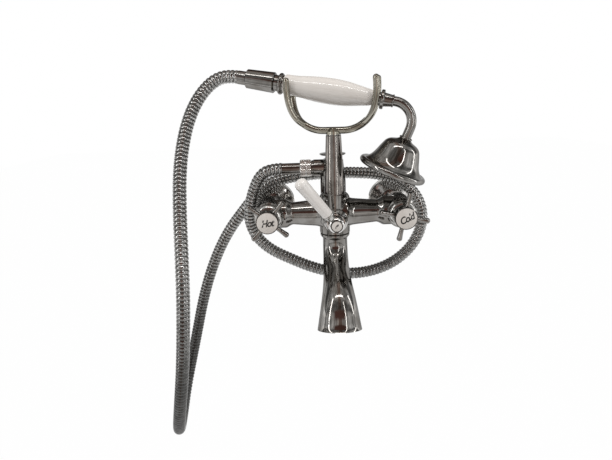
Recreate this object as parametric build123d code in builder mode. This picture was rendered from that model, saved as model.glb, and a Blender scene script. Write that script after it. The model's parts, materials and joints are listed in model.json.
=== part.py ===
"""Bath mixer with a telephone-style handset: unions, two valves, diverter, swivel spout, cradle and hose.

Millimetres, +Z up. The origin lies on the wall plane, midway between the two inlets at their height.
+Y points into the wall, so the user stands at -Y; the hot valve is at -X and the cold valve at +X.
"""
import os
from math import asin, cos, pi, radians, sin, tan

from build123d import *

# Driving dimensions

INLET_PITCH = 150.0
SLIP = 0.1            # radial gap of a part that slides over another when it is fitted
SCREW_FIT = 0.05      # radial gap between a thread's two halves
RUNNING = 0.05        # radial gap of what turns in a bore
SEAT = 0.02           # gap between parts that turn against each other, face to face
TURN_GAP = 0.5        # visible gap between a turning part and the fixed part behind it

# Wall unions: depths are distances in front of the wall
TAIL_R = 10.48
TAIL_DEPTH = 14.0
TAIL_ROOT = 1.0
UNION_R = 12.0
UNION_BORE_R = 7.5
UNION_THREAD_R = 13.22
UNION_THREAD_START = 27.0
UNION_FACE = 36.5
WASHER_T = 2.0
CHECK_VALVE_END = 12.0
ROSETTE_R = 27.9
ROSETTE_H = 10.5
ROSETTE_RIM = 2.0
ROSETTE_NECK_R = 14.0
ROSETTE_WALL = 1.4
NUT_FLATS = 29.0
NUT_R = 16.2
NUT_BACK = 28.5
NUT_FRONT = 42.0
NUT_LIP = 2.0

# Body casting
CHAMBER_R = 17.0
CHAMBER_BACK = 44.0
CHAMBER_FRONT = 82.0
CHAMBER_BORE_R = 12.6
CHAMBER_BORE_BACK = 58.0
SEAT_HOLE_R = 6.5
SPIGOT_R = 11.0
SPIGOT_FLANGE_R = 12.9
ARM_Y = -64.0
ARM_ROOT_R = 15.4
ARM_ROOT_X = 20.0
ARM_WAIST_R = 13.0
ARM_WAIST_X = 47.0
KNUCKLE_R = 16.5
KNUCKLE_X = 57.0
ARM_BORE_R = 8.0
BARREL_Y = -66.0
BARREL_R = 17.5
BARREL_BOTTOM = -23.0
BARREL_TOP = 24.0
BARREL_SHOULDER = 7.0
CAVITY_R = 11.5
CAVITY_TOP = 8.5
RISER_Y = -45.0
RISER_ROOT_R = 15.0
RISER_NECK_R = 12.4
RISER_BOTTOM = -16.0
RISER_TAPER_START = 33.0
RISER_TAPER_END = 56.0
RISER_TOP = 59.0
RISER_BORE_R = 8.0
PORT_R = 6.0
OUTLET_Z = 49.2
OUTLET_R = 9.7
OUTLET_FACE = 23.0
OUTLET_BORE_R = 5.0
OUTLET_THREAD_R = 7.5

# Riser cap
CAP_R = 15.2
CAP_Z = 63.8
CAP_T = 2.4
CAP_NECK_R = 7.0
CAP_PLUG = 6.0

# Valves
CARTRIDGE_FLANGE_R = 14.5
CARTRIDGE_FLANGE_T = 2.0
CARTRIDGE_NECK_R = 9.0
BONNET_R = 15.6
BONNET_FRONT_R = 11.6
BONNET_END = 89.0
BONNET_WALL = 1.5
SPINDLE_R = 4.0
SPINDLE_BACK = 64.0

# Cross handles
HANDLE_HUB_R = 11.2
HANDLE_RING_R = 12.3
HANDLE_FACE = 103.5
HANDLE_ARM_Y = -97.0
HANDLE_REACH = 28.3
ARM_NECK_R = 2.5
ARM_TIP_R = 3.1
INDEX_RIM_R = 12.4
INDEX_R = 11.4
INDEX_T = 2.2
INDEX_CROWN = 0.8
INDEX_RIM_T = 3.0
COLD_ANGLE = -12.5
HOT_ANGLE = -39.5
HANDLE_SCREW_R = 2.0
HANDLE_SCREW_HEAD_R = 3.6
HANDLE_SCREW_HEAD_T = 2.4
HANDLE_SCREW_L = 9.0
HANDLE_WEB = 3.0

# Diverter
DIVERTER_Z = -5.5
DIVERTER_BOSS_R = 14.0
DIVERTER_BOSS_FRONT = 85.0
DIVERTER_CARTRIDGE_R = 7.5
DIVERTER_CARTRIDGE_BACK = 57.0
DIVERTER_FLANGE_R = 12.0
DIVERTER_NECK_R = 6.0
DIVERTER_NECK_END = 93.0
DIVERTER_BONNET_R = 13.6
DIVERTER_BONNET_FRONT_R = 10.4
DIVERTER_BONNET_END = 95.0
DIVERTER_HUB_R = 9.2
DIVERTER_HUB_END = 107.0
DIVERTER_SPINDLE_R = 3.0
DIVERTER_INDEX_R = 5.7
DIVERTER_RIM_R = 6.8
LEVER_Y = -102.5
LEVER_ANGLE = 127.5
LEVER_LEAN = 9.0
LEVER_ROOT = 15.3
LEVER_END = 66.5
LEVER_ROOT_R = 6.15
LEVER_TIP_R = 7.0
LEVER_STUD_R = 2.5
LEVER_STUD_END = 48.0
LEVER_COLLAR_R = 6.4

# Spout
SPOUT_COLLAR_R = 17.0
SPOUT_COLLAR_BOTTOM = -30.5
SPOUT_NECK_TOP = -14.6
SPOUT_NECK_BORE_R = 8.6
SPOUT_WALL = 2.2
ORING_Z = -16.4
ORING_R = 0.75
GROOVE_Z = -19.6
GROOVE_W = 2.6
GROOVE_DEPTH = 1.4
GRUB_R = 2.0
FLOW_INSERT_T = 5.0
FLOW_INSERT_UP = 16.0
SCREEN_R = 12.0
SCREEN_T = 2.0
SCREEN_HOLE_R = 0.9
# y, z, forward tilt from straight down, outside radius
SPOUT_SECTIONS = [
    (-66.0, -30.5, 0.0, 14.2),
    (-67.5, -45.0, 20.0, 14.4),
    (-78.5, -60.0, 48.0, 14.8),
    (-98.0, -72.5, 56.0, 16.0),
    (-116.0, -84.5, 36.0, 18.5),
    (-124.0, -100.0, 20.0, 21.5),
    (-128.0, -116.8, 17.0, 24.5),
]

# Column and cradle
COLUMN_Y = -72.0
COLUMN_BASE_R = 11.4
COLUMN_TOP_R = 8.45
COLUMN_TOP = 88.5
COLUMN_STUD_R = 5.0
COLUMN_STUD_LOW = 12.0
COLUMN_STUD_HIGH = 36.0
CRADLE_TURN = 12.0
CRADLE_WASHER_R = 8.3
CRADLE_WASHER_T = 0.8
CRADLE_BOSS_R = 7.4
CRADLE_STUD_R = 3.0
CRADLE_STUD_LOW = 72.0
CRADLE_STUD_HIGH = 95.0
CRADLE_ROD_R = 3.8
CRADLE_BAR_Z = 93.4
CRADLE_FLAT = 11.0
CRADLE_BEND_R = 36.0
CRADLE_REACH = CRADLE_FLAT + CRADLE_BEND_R
TINE_R = 3.35
TINE_TOP = 149.8
TINE_TOP_SPREAD = 15.3
# degrees up the bend, distance from the cradle's plane
TINE_SPREAD = [(36.0, 0.9), (62.0, 8.4), (90.0, 12.4)]

# Handset: lengths along the grip's axis, from the point above the column, with clearances past the forks
GRIP_Z = 133.9
GRIP_TILT = 10.3
GRIP_TUBE_R = 5.6
GRIP_TUBE_BORE_R = 4.4
GRIP_START = -CRADLE_REACH - 7.0
GRIP_END = CRADLE_REACH - 3.0
BEAD_R = 11.4
BEAD_START = -CRADLE_REACH - 12.6
TAIL_NECK_R = 8.6
TAIL_NECK_START = -CRADLE_REACH - 17.0
TAIL_THREAD_R = 8.33
TAIL_THREAD_END = -CRADLE_REACH - 32.0
FLANGE_NECK_R = 7.2
FLANGE_RING_START = CRADLE_REACH + 4.6
FLANGE_RING_END = CRADLE_REACH + 8.4
FLANGE_RING_R = 10.15
SOCKET_END = CRADLE_REACH + 18.6
SOCKET_R = 7.1
SOCKET_END_R = 6.1
NECK_TUBE_R = 5.1
NECK_TUBE_WALL = 1.2
NECK_BEND_R = 21.0
NECK_BEND_START = CRADLE_REACH + 20.0
ROSE_TILT = 22.5
ROSE_BEND = 90.0 + ROSE_TILT - GRIP_TILT
ROSE_DROP = 10.5
ROSE_RIM_R = 34.0
ROSE_BEAD_R = 3.5
ROSE_WALL = 1.7
ROSE_DEPTH = 35.5
ROSE_NECK = 6.0
SPRAY_PLATE_T = 2.0
SPRAY_HOLE_R = 0.7
SPRAY_RINGS = 5

# Hose and its ends
HOSE_R = 7.25
HOSE_BORE_R = 4.5
HOSE_RIB_DEPTH = 0.7
HOSE_RIBS = 196
HOSE_LEAD = 15.0
HOSE_THREAD_R = 8.33
HOSE_NUT_R = 9.4
HOSE_NUT_BIG_R = 11.0
HOSE_NUT_TAPER = 0.9
FERRULE_FLANGE_R = 8.2
FERRULE_FLANGE_T = 1.5
HOSE_WASHER_T = 1.5
OUTLET_NUT_START = 25.0
OUTLET_NUT_END = 38.5
OUTLET_FERRULE_R = 6.45
OUTLET_FERRULE_END = 59.0
HANDSET_NUT_END = -CRADLE_REACH - 49.2
HANDSET_FERRULE_R = 7.3
HANDSET_FERRULE_END = -CRADLE_REACH - 59.0
# Corners of the hose's middle line between its straight ends
HOSE_ROUTE = [
    (-86.5, -43, 41), (-95.5, -40, 22.5), (-101.5, -37.5, 2), (-102.4, -34, -19), (-94.2, -31, -39.6),
    (-77.9, -29.5, -55.2), (-54, -30.5, -67.5), (-28, -32, -79), (-1, -33, -86.5), (26.5, -33.5, -89),
    (54, -31, -85.5), (78.5, -29, -75), (98.5, -27, -57.5), (110.5, -25.5, -34.5), (111.5, -24.5, -10),
    (101.5, -22.5, 12), (82, -20.5, 28.5), (57.5, -17.5, 35.5), (28.5, -15, 37.5), (-2, -14.5, 38),
    (-32, -15.5, 36.5), (-58.5, -16.5, 33.5), (-80, -16.5, 27.2), (-97, -16.5, 12), (-113, -15.5, -7),
    (-130, -13.5, -28), (-145.5, -12, -53), (-161, -11.5, -86), (-175, -11.5, -126),
    (-186.5, -11.5, -169), (-196.5, -12, -206), (-204.5, -14, -236), (-208.5, -29.5, -260),
    (-207.5, -55, -273.5), (-203.5, -83.5, -272.5), (-197, -108, -255.5), (-190, -123.5, -230),
    (-181.5, -136.5, -195), (-172.5, -145.5, -152), (-165.5, -151, -106.5), (-161, -151, -63),
    (-160, -143.5, -20), (-162, -126, 22.5), (-163.5, -102.5, 64), (-159.5, -78, 101),
    (-150, -60.5, 128), (-134.5, -50, 147.5),
]

# Places that follow from the sizes

SIDES = {"hot": -INLET_PITCH / 2, "cold": INLET_PITCH / 2}
HANDLE_ANGLES = {"hot": HOT_ANGLE, "cold": COLD_ANGLE}
SPOUT_NECK_R = CAVITY_R - RUNNING


def front_axis(x, z):
    """Axis plane of a part turned about +Y: its x is the distance in front of the wall, its y the radius."""
    return Plane(origin=(x, 0, z), x_dir=(0, -1, 0), z_dir=(-1, 0, 0))


def up_axis(y):
    """Axis plane of a part turned about a vertical line: its x is the height, its y the radius."""
    return Plane(origin=(0, y, 0), x_dir=(0, 0, 1), z_dir=(0, 1, 0))


def side_axis(y, z, way):
    """Axis plane of a part turned about X: its x is the distance from the middle towards way, -1 or 1."""
    return Plane(origin=(0, y, z), x_dir=(way, 0, 0), z_dir=(0, -way, 0))


def along(plane, distance):
    """The plane moved along its own x direction."""
    return Plane(origin=plane.origin + plane.x_dir * distance, x_dir=plane.x_dir, z_dir=plane.z_dir)


turn = radians(CRADLE_TURN)
cradle_plane = Plane(
    origin=(0, COLUMN_Y, 0),
    x_dir=(cos(turn), -sin(turn), 0),
    z_dir=(-sin(turn), -cos(turn), 0),
)
tilt = radians(GRIP_TILT)
grip_axis = Plane(
    origin=cradle_plane.from_local_coords((0, GRIP_Z, 0)),
    x_dir=cradle_plane.x_dir * cos(tilt) - cradle_plane.y_dir * sin(tilt),
    z_dir=cradle_plane.z_dir,
)
outlet_axis = side_axis(RISER_Y, OUTLET_Z, -1)


def dome(start, radius, rise):
    """Arc from an outline's corner at (start, radius) to the axis, rise further along, square to the axis."""
    ball = (radius ** 2 + rise ** 2) / (2 * abs(rise))
    half = asin(min(radius / ball, 1.0)) / 2
    way = 1 if rise > 0 else -1
    middle = start + rise - way * ball * (1 - cos(half))
    return [(middle, ball * sin(half)), (start + rise, 0)]


def draw_outline(steps):
    """Draws a closed outline: a step is a corner, or a list, two points of an arc or more of a curve."""
    here = steps[0]
    for step in steps[1:]:
        if not isinstance(step, list):
            Line(here, step)
            here = step
        elif len(step) == 2:
            ThreePointArc(here, *step)
            here = step[-1]
        else:
            Spline(here, *step)
            here = step[-1]
    Line(here, steps[0])


def turned(axis, steps):
    """A solid turned about the axis plane's x direction, from an outline of (along, radius) steps."""
    with BuildPart() as piece:
        with BuildSketch(axis):
            with BuildLine():
                draw_outline(steps)
            make_face()
        revolve(axis=Axis(axis.origin, axis.x_dir))
    return piece


def rod(axis, start, end, radius):
    """A plain round bar along the axis plane's x direction."""
    return turned(axis, [(start, 0), (start, radius), (end, radius), (end, 0)])


def save(piece, name):
    piece.part.label = name
    export_step(piece.part, f"parts/{name}.step")


os.makedirs("parts", exist_ok=True)

# Wall unions, rosettes, union nuts and washers


def make_wall_union(x):
    """Union whose tail is closed as far as its non-return valve reaches, since the valve is held shut in it."""
    chamfer_size = 0.8
    return turned(front_axis(x, 0), [
        (-TAIL_DEPTH, 0),
        (-TAIL_DEPTH, TAIL_R - chamfer_size),
        (-TAIL_DEPTH + chamfer_size, TAIL_R),
        (TAIL_ROOT, TAIL_R),
        (TAIL_ROOT, UNION_R),
        (UNION_THREAD_START, UNION_R),
        (UNION_THREAD_START + chamfer_size, UNION_THREAD_R),
        (UNION_FACE - chamfer_size, UNION_THREAD_R),
        (UNION_FACE, UNION_THREAD_R - chamfer_size),
        (UNION_FACE, UNION_BORE_R),
        (CHECK_VALVE_END, UNION_BORE_R),
        (CHECK_VALVE_END, 0),
    ])


def make_rosette(x):
    rise = ROSETTE_H - ROSETTE_RIM
    spread = ROSETTE_R - ROSETTE_NECK_R
    bore = UNION_R + SLIP
    inner = ROSETTE_R - ROSETTE_WALL
    return turned(front_axis(x, 0), [
        (0, ROSETTE_R),
        (ROSETTE_RIM, ROSETTE_R),
        [
            (ROSETTE_RIM + 0.2 * rise, ROSETTE_R - 0.1 * spread),
            (ROSETTE_RIM + 0.45 * rise, ROSETTE_R - 0.38 * spread),
            (ROSETTE_RIM + 0.75 * rise, ROSETTE_R - 0.72 * spread),
            (ROSETTE_H, ROSETTE_NECK_R),
        ],
        (ROSETTE_H, bore),
        (ROSETTE_H - 1.5 * ROSETTE_WALL, bore),
        [
            (ROSETTE_RIM + 0.45 * rise - ROSETTE_WALL, ROSETTE_R - 0.48 * spread),
            (ROSETTE_RIM, ROSETTE_R - 1.6 * ROSETTE_WALL),
            (0, inner),
        ],
    ])


def make_union_nut(x):
    thread = UNION_THREAD_R + SCREW_FIT
    edge = NUT_FLATS / 2 - 0.3
    corner = NUT_R - edge
    blank = turned(front_axis(x, 0), [
        (NUT_BACK, thread),
        (NUT_BACK, edge),
        (NUT_BACK + corner / 2, NUT_R),
        (NUT_FRONT - corner / 2, NUT_R),
        (NUT_FRONT, edge),
        (NUT_FRONT, SPIGOT_R + SLIP),
        (NUT_FRONT - NUT_LIP, SPIGOT_R + SLIP),
        (NUT_FRONT - NUT_LIP, thread),
    ])
    with BuildPart() as nut:
        with BuildSketch(Plane(origin=(x, -NUT_BACK, 0), x_dir=(1, 0, 0), z_dir=(0, -1, 0))):
            RegularPolygon(radius=NUT_FLATS / 2, side_count=6, major_radius=False)
        extrude(amount=NUT_FRONT - NUT_BACK)
        add(blank.part, mode=Mode.INTERSECT)
    return nut


for side, x in SIDES.items():
    save(make_wall_union(x), f"wall_union_{side}")
    save(make_rosette(x), f"rosette_{side}")

with BuildPart() as union_nuts:
    for x in SIDES.values():
        add(make_union_nut(x).part)
save(union_nuts, "union_nuts")

with BuildPart() as union_washers:
    for x in SIDES.values():
        washer_edge = SPIGOT_FLANGE_R - SLIP
        add(turned(front_axis(x, 0), [
            (UNION_FACE, UNION_BORE_R),
            (UNION_FACE, washer_edge),
            (UNION_FACE + WASHER_T, washer_edge),
            (UNION_FACE + WASHER_T, UNION_BORE_R),
        ]).part)
save(union_washers, "union_washers")

# Body casting: barrel, arms, valve chambers, riser and bosses, with the waterways cored out


def arm_solid(way):
    """Arm from the barrel to the valve, with a flared root and a bulb that runs into the valve chamber."""
    flare = BARREL_R + 1.5
    return turned(side_axis(ARM_Y, 0, way), [
        (0, 0),
        (0, flare),
        (BARREL_R - 4, flare),
        [(BARREL_R - 0.5, ARM_ROOT_R + 1.4), (ARM_ROOT_X + 2, ARM_ROOT_R)],
        (ARM_WAIST_X, ARM_WAIST_R),
        [(ARM_WAIST_X + 3.5, ARM_WAIST_R + 0.6), (KNUCKLE_X - 3, KNUCKLE_R - 0.9), (KNUCKLE_X, KNUCKLE_R)],
        (INLET_PITCH / 2, KNUCKLE_R),
        (INLET_PITCH / 2, 0),
    ])


def chamber_solid(x):
    """Valve chamber with its edges eased, and the flanged spigot that the union nut pulls on."""
    edge = 1.5
    spigot_back = UNION_FACE + WASHER_T
    flange_front = NUT_FRONT - NUT_LIP
    return turned(front_axis(x, 0), [
        (spigot_back, 0),
        (spigot_back, SPIGOT_FLANGE_R),
        (flange_front, SPIGOT_FLANGE_R),
        (flange_front, SPIGOT_R),
        (CHAMBER_BACK, SPIGOT_R),
        (CHAMBER_BACK, CHAMBER_R - edge),
        (CHAMBER_BACK + edge, CHAMBER_R),
        (CHAMBER_FRONT - edge, CHAMBER_R),
        (CHAMBER_FRONT, CHAMBER_R - edge),
        (CHAMBER_FRONT, 0),
    ])


arm_bore_reach = INLET_PITCH / 2 - SEAT_HOLE_R - 2.5
stud_hole_low = COLUMN_STUD_LOW - 1
with BuildPart() as body_casting:
    add(turned(up_axis(BARREL_Y), [
        (BARREL_BOTTOM, 0),
        (BARREL_BOTTOM, BARREL_R - 0.7),
        (BARREL_BOTTOM + 0.7, BARREL_R),
        (BARREL_TOP - BARREL_SHOULDER, BARREL_R),
        [(BARREL_TOP - 0.3 * BARREL_SHOULDER, BARREL_R - 0.3 * BARREL_SHOULDER),
         (BARREL_TOP, BARREL_R - BARREL_SHOULDER)],
        (BARREL_TOP, 0),
    ]).part)
    add(turned(up_axis(COLUMN_Y), [
        (CAVITY_TOP, 0),
        (CAVITY_TOP, COLUMN_BASE_R + 1.2),
        (BARREL_TOP - 1, COLUMN_BASE_R + 1.2),
        (BARREL_TOP, COLUMN_BASE_R + 0.2),
        (BARREL_TOP, 0),
    ]).part)
    add(turned(up_axis(RISER_Y), [
        (RISER_TOP, 0),
        (RISER_TOP, RISER_NECK_R - 1.2),
        (RISER_TOP - 1.2, RISER_NECK_R),
        (RISER_TAPER_END, RISER_NECK_R),
        (RISER_TAPER_START, RISER_ROOT_R),
        (RISER_BOTTOM + RISER_ROOT_R - 2, RISER_ROOT_R),
        dome(RISER_BOTTOM + RISER_ROOT_R - 2, RISER_ROOT_R, 2 - RISER_ROOT_R),
    ]).part)
    add(turned(outlet_axis, [
        (0, 0),
        (0, OUTLET_R),
        (OUTLET_FACE - 0.8, OUTLET_R),
        (OUTLET_FACE, OUTLET_R - 0.8),
        (OUTLET_FACE, 0),
    ]).part)
    add(turned(front_axis(0, DIVERTER_Z), [
        (-BARREL_Y, 0),
        (-BARREL_Y, DIVERTER_BOSS_R),
        (DIVERTER_BOSS_FRONT - 0.6, DIVERTER_BOSS_R),
        (DIVERTER_BOSS_FRONT, DIVERTER_BOSS_R - 0.6),
        (DIVERTER_BOSS_FRONT, 0),
    ]).part)
    for side_x, way in ((SIDES["hot"], -1), (SIDES["cold"], 1)):
        add(arm_solid(way).part)
        add(chamber_solid(side_x).part)
    for side_x, way in ((SIDES["hot"], -1), (SIDES["cold"], 1)):
        chamber_axis = front_axis(side_x, 0)
        spigot_start = UNION_FACE
        add(
            rod(chamber_axis, CHAMBER_BORE_BACK, CHAMBER_FRONT + 1, CHAMBER_BORE_R).part,
            mode=Mode.SUBTRACT,
        )
        add(rod(chamber_axis, spigot_start, CHAMBER_BORE_BACK - 6, UNION_BORE_R).part, mode=Mode.SUBTRACT)
        add(
            rod(chamber_axis, CHAMBER_BORE_BACK - 7, CHAMBER_BORE_BACK + 1, SEAT_HOLE_R).part,
            mode=Mode.SUBTRACT,
        )
        add(rod(side_axis(ARM_Y, 0, way), 0, arm_bore_reach, ARM_BORE_R).part, mode=Mode.SUBTRACT)
    add(rod(up_axis(BARREL_Y), BARREL_BOTTOM - 1, CAVITY_TOP, CAVITY_R).part, mode=Mode.SUBTRACT)
    add(
        rod(front_axis(0, DIVERTER_Z), -BARREL_Y, DIVERTER_BOSS_FRONT + 1, DIVERTER_CARTRIDGE_R + SCREW_FIT).part,
        mode=Mode.SUBTRACT,
    )
    add(rod(front_axis(0, DIVERTER_Z), -RISER_Y, -BARREL_Y, PORT_R).part, mode=Mode.SUBTRACT)
    add(
        rod(up_axis(RISER_Y), RISER_BOTTOM + 4, RISER_TOP - CAP_PLUG + 1, RISER_BORE_R).part,
        mode=Mode.SUBTRACT,
    )
    add(
        rod(up_axis(RISER_Y), RISER_TOP - CAP_PLUG, RISER_TOP + 1, CAP_NECK_R + SCREW_FIT).part,
        mode=Mode.SUBTRACT,
    )
    add(rod(outlet_axis, 0, OUTLET_FACE + 1, OUTLET_BORE_R).part, mode=Mode.SUBTRACT)
    add(
        rod(outlet_axis, OUTLET_FACE - 10, OUTLET_FACE + 1, OUTLET_THREAD_R + SCREW_FIT).part,
        mode=Mode.SUBTRACT,
    )
    add(
        rod(up_axis(COLUMN_Y), stud_hole_low, BARREL_TOP + 1, COLUMN_STUD_R + SCREW_FIT).part,
        mode=Mode.SUBTRACT,
    )
    add(rod(front_axis(0, GROOVE_Z), -BARREL_Y - BARREL_R - 1, -BARREL_Y, GRUB_R + SCREW_FIT).part,
        mode=Mode.SUBTRACT)
save(body_casting, "body_casting")

with BuildPart() as riser_cap:
    add(turned(up_axis(RISER_Y), [
        (RISER_TOP - CAP_PLUG, 0),
        (RISER_TOP - CAP_PLUG, CAP_NECK_R),
        (RISER_TOP, CAP_NECK_R),
        (RISER_TOP, CAP_NECK_R + 2.4),
        (RISER_TOP + 1.2, CAP_NECK_R + 2.4),
        (RISER_TOP + 1.8, CAP_NECK_R),
        (CAP_Z - 0.4, CAP_NECK_R),
        (CAP_Z, CAP_R - 1.6),
        [(CAP_Z + 0.2 * CAP_T, CAP_R - 0.5), (CAP_Z + 0.5 * CAP_T, CAP_R), (CAP_Z + 0.8 * CAP_T, CAP_R - 0.5)],
        dome(CAP_Z + 0.8 * CAP_T, CAP_R - 0.5, 1.4),
    ]).part)
save(riser_cap, "riser_cap")

nipple_end = OUTLET_FACE + 10
with BuildPart() as outlet_nipple:
    add(turned(outlet_axis, [
        (OUTLET_FACE - 9.5, OUTLET_BORE_R),
        (OUTLET_FACE - 9.5, OUTLET_THREAD_R),
        (OUTLET_FACE, OUTLET_THREAD_R),
        (OUTLET_FACE, OUTLET_R - 0.7),
        (OUTLET_NUT_START - 0.4, OUTLET_R - 0.7),
        (OUTLET_NUT_START - 0.4, HOSE_THREAD_R),
        (nipple_end, HOSE_THREAD_R),
        (nipple_end, OUTLET_BORE_R),
    ]).part)
save(outlet_nipple, "outlet_nipple")

# Valves: cartridge, bonnet, spindle and cross handle


def make_cartridge(axis):
    body = CHAMBER_BORE_R - SCREW_FIT
    bore = SPINDLE_R + RUNNING
    flange_end = CHAMBER_FRONT + CARTRIDGE_FLANGE_T
    back = CHAMBER_BORE_BACK + 0.3
    return turned(axis, [
        (back, 0),
        (back, body - 2.5),
        (back + 2.5, body),
        (CHAMBER_FRONT, body),
        (CHAMBER_FRONT, CARTRIDGE_FLANGE_R),
        (flange_end, CARTRIDGE_FLANGE_R),
        (flange_end, CARTRIDGE_NECK_R),
        (BONNET_END - 1, CARTRIDGE_NECK_R),
        (BONNET_END - 1, bore),
        (SPINDLE_BACK - 0.5, bore),
        (SPINDLE_BACK - 0.5, 0),
    ])


def make_bonnet(axis):
    flange_end = CHAMBER_FRONT + CARTRIDGE_FLANGE_T + SLIP
    over_flange = CARTRIDGE_FLANGE_R + SLIP
    over_neck = CARTRIDGE_NECK_R + SLIP
    middle = (CHAMBER_FRONT + BONNET_END) / 2
    return turned(axis, [
        (CHAMBER_FRONT, over_flange),
        (CHAMBER_FRONT, BONNET_R),
        (CHAMBER_FRONT + 1.5, BONNET_R),
        [(middle + 1, BONNET_FRONT_R + 2.6), (BONNET_END - 1, BONNET_FRONT_R)],
        (BONNET_END, BONNET_FRONT_R - 0.5),
        (BONNET_END, over_neck),
        (flange_end + BONNET_WALL, over_neck),
        (flange_end, over_flange),
    ])


def make_handle(axis, angle):
    """Cross handle: a ringed hub with four arms, bored for its spindle, its screw and the index rim."""
    back = BONNET_END + TURN_GAP
    recess_floor = HANDLE_FACE - 3
    web_back = recess_floor - HANDLE_WEB
    spindle_hole = SPINDLE_R + SEAT
    screw_hole = HANDLE_SCREW_R + SLIP
    recess = HANDLE_HUB_R - 1.6
    hub = turned(axis, [
        (back, spindle_hole),
        (back, HANDLE_HUB_R - 1.4),
        (back + 1, HANDLE_HUB_R - 0.6),
        [(back + 1.6, HANDLE_RING_R - 0.2), (back + 2.6, HANDLE_RING_R), (back + 3.6, HANDLE_RING_R - 0.2)],
        (back + 4.2, HANDLE_HUB_R),
        (HANDLE_FACE - 3, HANDLE_HUB_R),
        (HANDLE_FACE - 2, HANDLE_RING_R),
        (HANDLE_FACE, HANDLE_RING_R),
        (HANDLE_FACE, recess),
        (recess_floor, recess),
        (recess_floor, screw_hole),
        (web_back, screw_hole),
        (web_back, spindle_hole),
    ])
    arm_start = HANDLE_HUB_R - 2.5
    with BuildPart() as handle:
        add(hub.part)
        for quarter in range(4):
            way = radians(angle + 90 * quarter)
            centre = (axis.origin.X, HANDLE_ARM_Y, axis.origin.Z)
            arm_axis = Plane(origin=centre, x_dir=(cos(way), 0, sin(way)), z_dir=(0, -1, 0))
            add(turned(arm_axis, [
                (arm_start, 0),
                (arm_start, ARM_NECK_R + 0.4),
                [
                    (arm_start + 5, ARM_NECK_R),
                    (HANDLE_REACH - 9, ARM_NECK_R + 0.1),
                    (HANDLE_REACH - 3.2, ARM_TIP_R),
                ],
                (HANDLE_REACH - 2, ARM_TIP_R),
                dome(HANDLE_REACH - 2, ARM_TIP_R, 2),
            ]).part)
        add(rod(axis, back - 1, web_back, spindle_hole).part, mode=Mode.SUBTRACT)
    return handle


def make_index_rim(axis, face, rim_r, disc_r, depth):
    """Ring that holds a ceramic disc on the end of a hub."""
    edge = 0.5
    return turned(axis, [
        (face, disc_r - 1.6),
        (face, rim_r - edge),
        (face + edge, rim_r),
        (face + depth - edge, rim_r),
        (face + depth, rim_r - edge),
        (face + depth, disc_r + SCREW_FIT),
        (face + 0.7, disc_r + SCREW_FIT),
        (face + 0.7, disc_r - 1.6),
    ])


def make_index_disc(axis, face, disc_r, thickness):
    back = face + 0.7
    front = back + thickness
    return turned(axis, [
        (back, 0),
        (back, disc_r),
        (front, disc_r),
        dome(front, disc_r, INDEX_CROWN),
    ])


def make_handle_screw(axis):
    head_back = HANDLE_FACE - 3
    head_front = head_back + HANDLE_SCREW_HEAD_T
    return turned(axis, [
        (head_back - HANDLE_SCREW_L, 0),
        (head_back - HANDLE_SCREW_L, HANDLE_SCREW_R),
        (head_back, HANDLE_SCREW_R),
        (head_back, HANDLE_SCREW_HEAD_R),
        (head_front, HANDLE_SCREW_HEAD_R - 0.3),
        (head_front, 1.2),
        (head_front - 1.4, 1.2),
        (head_front - 1.4, 0),
    ])


def make_spindle(axis):
    end = HANDLE_FACE - 3 - HANDLE_WEB
    hole_end = HANDLE_FACE - 3 - HANDLE_SCREW_L - 0.5
    return turned(axis, [
        (SPINDLE_BACK, 0),
        (SPINDLE_BACK, SPINDLE_R),
        (end, SPINDLE_R),
        (end, HANDLE_SCREW_R + SCREW_FIT),
        (hole_end, HANDLE_SCREW_R + SCREW_FIT),
        (hole_end, 0),
    ])


for side, x in SIDES.items():
    valve_axis = front_axis(x, 0)
    save(make_cartridge(valve_axis), f"cartridge_{side}")
    save(make_bonnet(valve_axis), f"bonnet_{side}")
    save(make_spindle(valve_axis), f"spindle_{side}")
    save(make_handle(valve_axis, HANDLE_ANGLES[side]), f"handle_{side}")
    save(make_handle_screw(valve_axis), f"handle_screw_{side}")
    save(make_index_rim(valve_axis, HANDLE_FACE, INDEX_RIM_R, INDEX_R, INDEX_RIM_T), f"index_rim_{side}")
    save(make_index_disc(valve_axis, HANDLE_FACE, INDEX_R, INDEX_T), f"index_disc_{side}")

# Diverter: cartridge, bonnet, spindle, hub and ceramic lever

diverter_axis = front_axis(0, DIVERTER_Z)
diverter_bore = DIVERTER_SPINDLE_R + RUNNING
flange_front = DIVERTER_BOSS_FRONT + 1.5
spindle_start = DIVERTER_CARTRIDGE_BACK + 4
spindle_front = DIVERTER_HUB_END - 2

with BuildPart() as diverter_cartridge:
    add(turned(diverter_axis, [
        (DIVERTER_CARTRIDGE_BACK, 0),
        (DIVERTER_CARTRIDGE_BACK, DIVERTER_CARTRIDGE_R - 1),
        (DIVERTER_CARTRIDGE_BACK + 1, DIVERTER_CARTRIDGE_R),
        (DIVERTER_BOSS_FRONT, DIVERTER_CARTRIDGE_R),
        (DIVERTER_BOSS_FRONT, DIVERTER_FLANGE_R),
        (flange_front, DIVERTER_FLANGE_R),
        (flange_front, DIVERTER_NECK_R),
        (DIVERTER_NECK_END, DIVERTER_NECK_R),
        (DIVERTER_NECK_END, diverter_bore),
        (spindle_start - 0.5, diverter_bore),
        (spindle_start - 0.5, 0),
    ]).part)
save(diverter_cartridge, "diverter_cartridge")

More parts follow.
